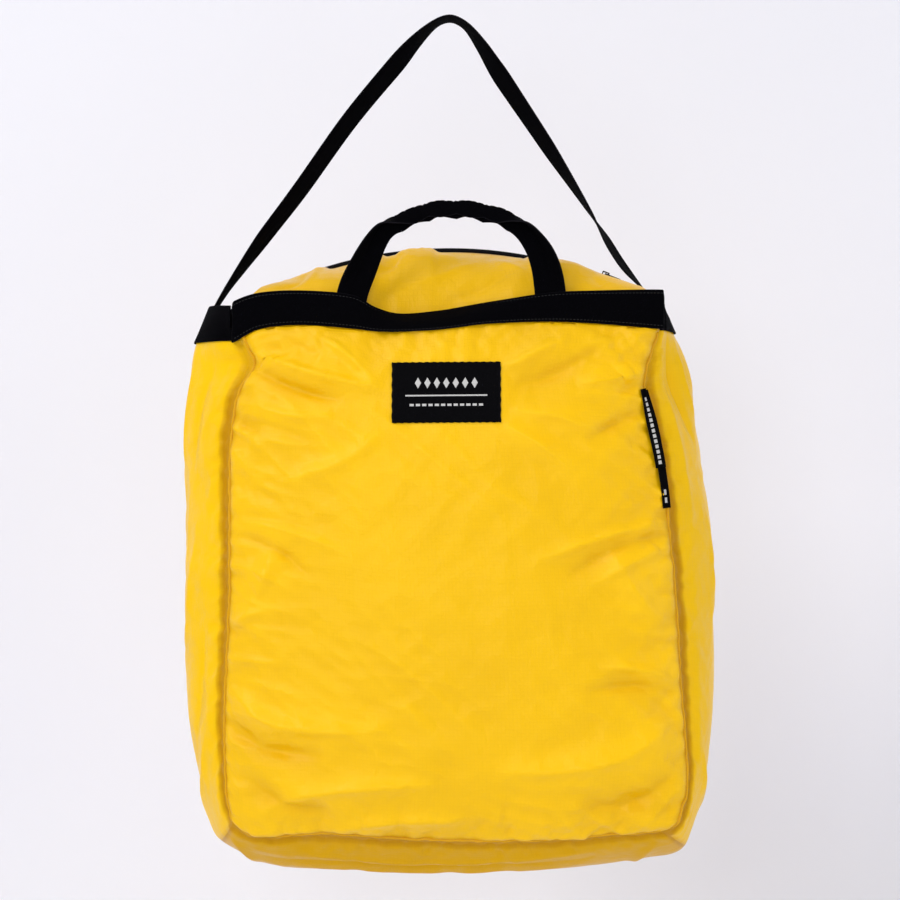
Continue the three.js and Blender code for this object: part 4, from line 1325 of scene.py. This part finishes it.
def make_label(tree):
    """The woven label: a plain row of lozenges over two thin lines."""
    low, high = box("woven_label")
    width, height = high[0] - low[0], high[2] - low[2]
    centre_x, centre_z = (low[0] + high[0]) / 2, (low[2] + high[2]) / 2
    u = np.linspace(-0.5, 0.5, 53)[None, :]
    v = np.linspace(0.5, -0.5, 31)[:, None]
    x = centre_x + u * width + 0.3 * np.sin(v * 37) * (np.abs(u) > 0.48)
    z = centre_z + v * height + 0.9 * u + 0.3 * np.sin(u * 97) * (np.abs(v) > 0.48)
    face = laid_on(tree, *np.broadcast_arrays(x, z), -1, 0)
    plain = face[..., 1]
    for _ in range(30):  # the stiff label smooths out the cloth's small folds
        around = plain[:-2, 1:-1] + plain[2:, 1:-1] + plain[1:-1, :-2] + plain[1:-1, 2:]
        plain[1:-1, 1:-1] = around / 4
    face[..., 1] = plain - 1.1
    label = thick_sheet("woven_label_patch", face, 0.7, LABEL_CLOTH, (0, -1, 0), 0.5)
    finish_piece(label, "front_shell", "label", "woven_label")

    # Kind, place and half size of each patch of light thread.
    patches = [("lozenge", k * 9.0, 9.0, 3.0, 5.2) for k in range(-3, 4)]
    patches += [("bar", 0.0, -3.0, 39.0, 0.7)]
    patches += [("bar", -33.0 + 6.0 * k, -12.0, 2.0, 1.1) for k in range(12)]
    middle = surface_tree(face)
    steps = np.linspace(-1, 1, 9)
    points, faces = [], []
    for kind, x0, z0, half_x, half_z in patches:
        a, b = np.meshgrid(steps, steps)
        reach = (1 - np.abs(b)) if kind == "lozenge" else np.ones_like(b)
        px = centre_x + x0 + a * half_x * reach
        pz = centre_z + z0 + b * half_z + 0.9 * (x0 + a * half_x) / width
        dome = 0.42 + 0.3 * np.sqrt(np.clip((1 - a**2) * (1 - b**2), 0, 1))
        spot = laid_on(middle, px, pz, -1, 0)
        spot[..., 1] -= dome
        faces.append(front_faces(spot, sum(len(p) for p in points)))
        points.append(spot.reshape(-1, 3))
    motif = np.concatenate(points)
    piece = make_mesh("woven_label_motif", motif, np.concatenate(faces), LABEL_THREAD)
    finish_piece(piece, "front_shell", "label")


def make_tag(tree):
    """Two leaves of woven ribbon sewn into the right seam, with a line of plain dashes."""
    leaves = [
        ("rear", [(189, -372), (196, -400), (203, -440), (207, -468), (209, -486)], 0.9, 8),
        ("front", [(186, -371), (192, -395), (199, -425), (202, -440), (203, -447)], 2.3, 10.5),
    ]
    count = 46
    for name, points, lift, width in leaves:
        line = smooth_line(points, count)
        run = direction(line)
        aside = np.stack([-run[:, 1], run[:, 0]], axis=1)
        half = width / 2 * lerp(0.55, 1.0, ease(np.linspace(0, 2.2, count)))
        flat = line[:, None] + aside[:, None] * ACROSS[None, :, None] * half[:, None, None]
        grid = laid_on(tree, flat[..., 0], flat[..., 1], -1, 0)
        depth = grid[..., 1].copy()
        for _ in range(60):
            depth[1:-1] = (depth[:-2] + depth[2:] + 2 * depth[1:-1]) / 4
        tilt = 1.6 * np.sin(np.linspace(0.3, 5.0, count))[:, None] * ACROSS[None, :]
        depth = np.minimum(depth, depth.mean(axis=1, keepdims=True) + 0.6)
        hang = 1.5 * ease(np.linspace(0, 2, count))[:, None]
        grid[..., 1] = depth - lift - hang - 0.5 * np.abs(tilt)
        leaf = thick_sheet(f"tag_{name}_ribbon", grid, 0.6, LABEL_CLOTH, (0, -1, 0), 0.4)
        marks, faces = [], []
        for k in range(5, 42, 3) if name == "front" else range(38, 44, 3):
            corners = lerp(grid[k:k + 3:2, 3:6:2], grid[k:k + 3:2, 4:5], 0.3)
            corners[..., 1] -= 0.45
            dash = finer(corners, 3)
            faces.append(front_faces(dash, dash[..., 0].size * len(marks)))
            marks.append(dash.reshape(-1, 3))
        points = np.concatenate(marks)
        dashes = make_mesh(f"tag_{name}_dashes", points, np.concatenate(faces), LABEL_THREAD)
        for piece in (leaf, dashes):
            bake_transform(piece)
        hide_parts(f"tag_{name}_leaf")


def make_seams(panels):
    """The raised edge of each panel's seam with its stitches, and the binding inside."""
    for name, side in (("front", -1), ("back", 1)):
        grid = panels[name]
        normals = normals_of(grid, (0, side, 0))
        edge, near = seam_of(grid), seam_of(normals)
        inward = unit(np.cross(np.array([0, float(side), 0]), direction(edge)))
        centre = grid.mean(axis=(0, 1))
        inward *= np.sign(((centre - edge) * inward).sum(axis=1, keepdims=True).mean())
        out = unit(near + np.array([0, 1.6 * side, 0]))
        clear = slice(6, -6)  # leaves out the seam's ends, which the bands cover
        stray = 0.7 * wobble(edge, 6, 33 + side)[:, None]
        steps = np.array([-0.9, -0.4, 0.5, 1.4, 2.2])
        height = np.array([0.1, 0.9, 1.2, 0.9, 0.5])
        aside = inward[:, None] * (steps[None, :, None] + stray[:, None])
        raised = (edge[:, None] + aside + out[:, None] * height[None, :, None])[clear]
        seam = thick_sheet(f"{name}_seam_edge", raised, 0.7, BINDING, (0, side, 0), 0.4)
        finish_piece(seam, f"{name}_shell", "nylon_binding")
        row = raised[:, 3] + out[clear] * 0.45
        thread = make_stitches(f"{name}_seam_stitches", row, out[clear], 3.1, GOLD_THREAD)
        finish_piece(thread, f"{name}_shell", "nylon_binding")

        width = 8.0
        inside = edge + inward * 3.4 - np.array([0, side * 1.6, 0])
        turn = np.linspace(0, 1, 5)[None, :, None]
        tape = inside[:, None] - np.array([0, float(side), 0]) * turn * width
        tape = (tape + inward[:, None] * (0.8 * np.sin(turn * 3)))[clear][::3]
        binding = thick_sheet(f"{name}_seam_tape", tape, 0.8, BINDING, (0, 0, 1), 0.3)
        finish_piece(binding, f"{name}_shell", "nylon_binding", f"{name}_seam_binding")


def make_stitches(name, line, normals, pitch, material):
    """A row of stitches: short threads that dip into the cloth at their ends."""
    steps = np.linalg.norm(np.diff(line, axis=0), axis=1)
    along = np.concatenate([[0], np.cumsum(steps)])
    thick, around, part = 0.55, 5, 0.8  # each thread takes up this part of the pitch
    ring = np.linspace(0, 2 * np.pi, around + 1)[:-1]
    share = np.array([-0.5, -0.3, 0.0, 0.3, 0.5])
    girth = np.array([0.35, 0.9, 1.0, 0.9, 0.35]) * thick / 2
    rise = np.array([-0.3, 0.08, 0.2, 0.08, -0.3])
    tube = tube_faces(len(share), around)
    points, faces = [], []
    for k in range(int(along[-1] / pitch)):
        at = (k + 0.5) * pitch
        p, n, q = (
            np.array([np.interp(at + d, along, column) for column in rows.T])
            for rows, d in ((line, 0), (normals, 0), (line, 0.2))
        )
        t = unit(q - p)
        side = unit(np.cross(t, n))
        faces += [[len(points) + i for i in face] for face in tube]
        for j in range(len(share)):
            centre = p + t * share[j] * pitch * part + n * rise[j]
            for a in ring:
                points.append(centre + girth[j] * (side * math.cos(a) + n * math.sin(a)))
    return make_mesh(name, np.array(points), faces, material)


def make_pocket(panels):
    """The inner pocket on the back panel that the folded bag is stowed in."""
    low, high = box("stow_pocket_panel")
    half, top, bottom = high[0], high[2], low[2]
    tree = surface_tree(panels["back"])
    u = np.linspace(-1, 1, 61)[None, :]
    v = np.linspace(0, 1, 63)[:, None]
    x, z = np.broadcast_arrays(half * u, lerp(top, bottom, v))
    grid = laid_on(tree, x, z, 1, -1.4)
    stand = 9.0 * (1 - np.abs(u) ** 5) * (1 - v**5) * (0.35 + 0.65 * np.exp(-((v / 0.5) ** 2)))
    grid[..., 1] -= stand + 0.8 * (wobble(grid, 26, 91) + 1) * (1 - np.abs(u) ** 6)
    pocket = cloth_sheet("stow_pocket_nylon", grid, NYLON, (0, -1, 0))
    finish_piece(pocket, "back_shell", "nylon", "stow_pocket_panel")
    top_rows = grid[0:5].copy()
    top_rows[..., 1] -= 0.9
    hem = thick_sheet("stow_pocket_hem_fold", top_rows, 1.0, BINDING, (0, -1, 0), 0.3)
    finish_piece(hem, "back_shell", "nylon_binding", "stow_pocket_hem")


# ---------------------------------------------------------------- the scene

make_camera()
make_stage()
panels, gussets = make_body()
make_strap()
make_mouth_bands()
make_side_bands(gussets)
make_handles()
for name, side in (("front", -1), ("back", 1)):
    make_closure(name, side)
    make_zip_tape(name, side)
    make_coil(name, side)
make_zip_ends()
front_tree = surface_tree(panels["front"])
make_label(front_tree)
make_tag(front_tree)
make_seams(panels)
make_pocket(panels)
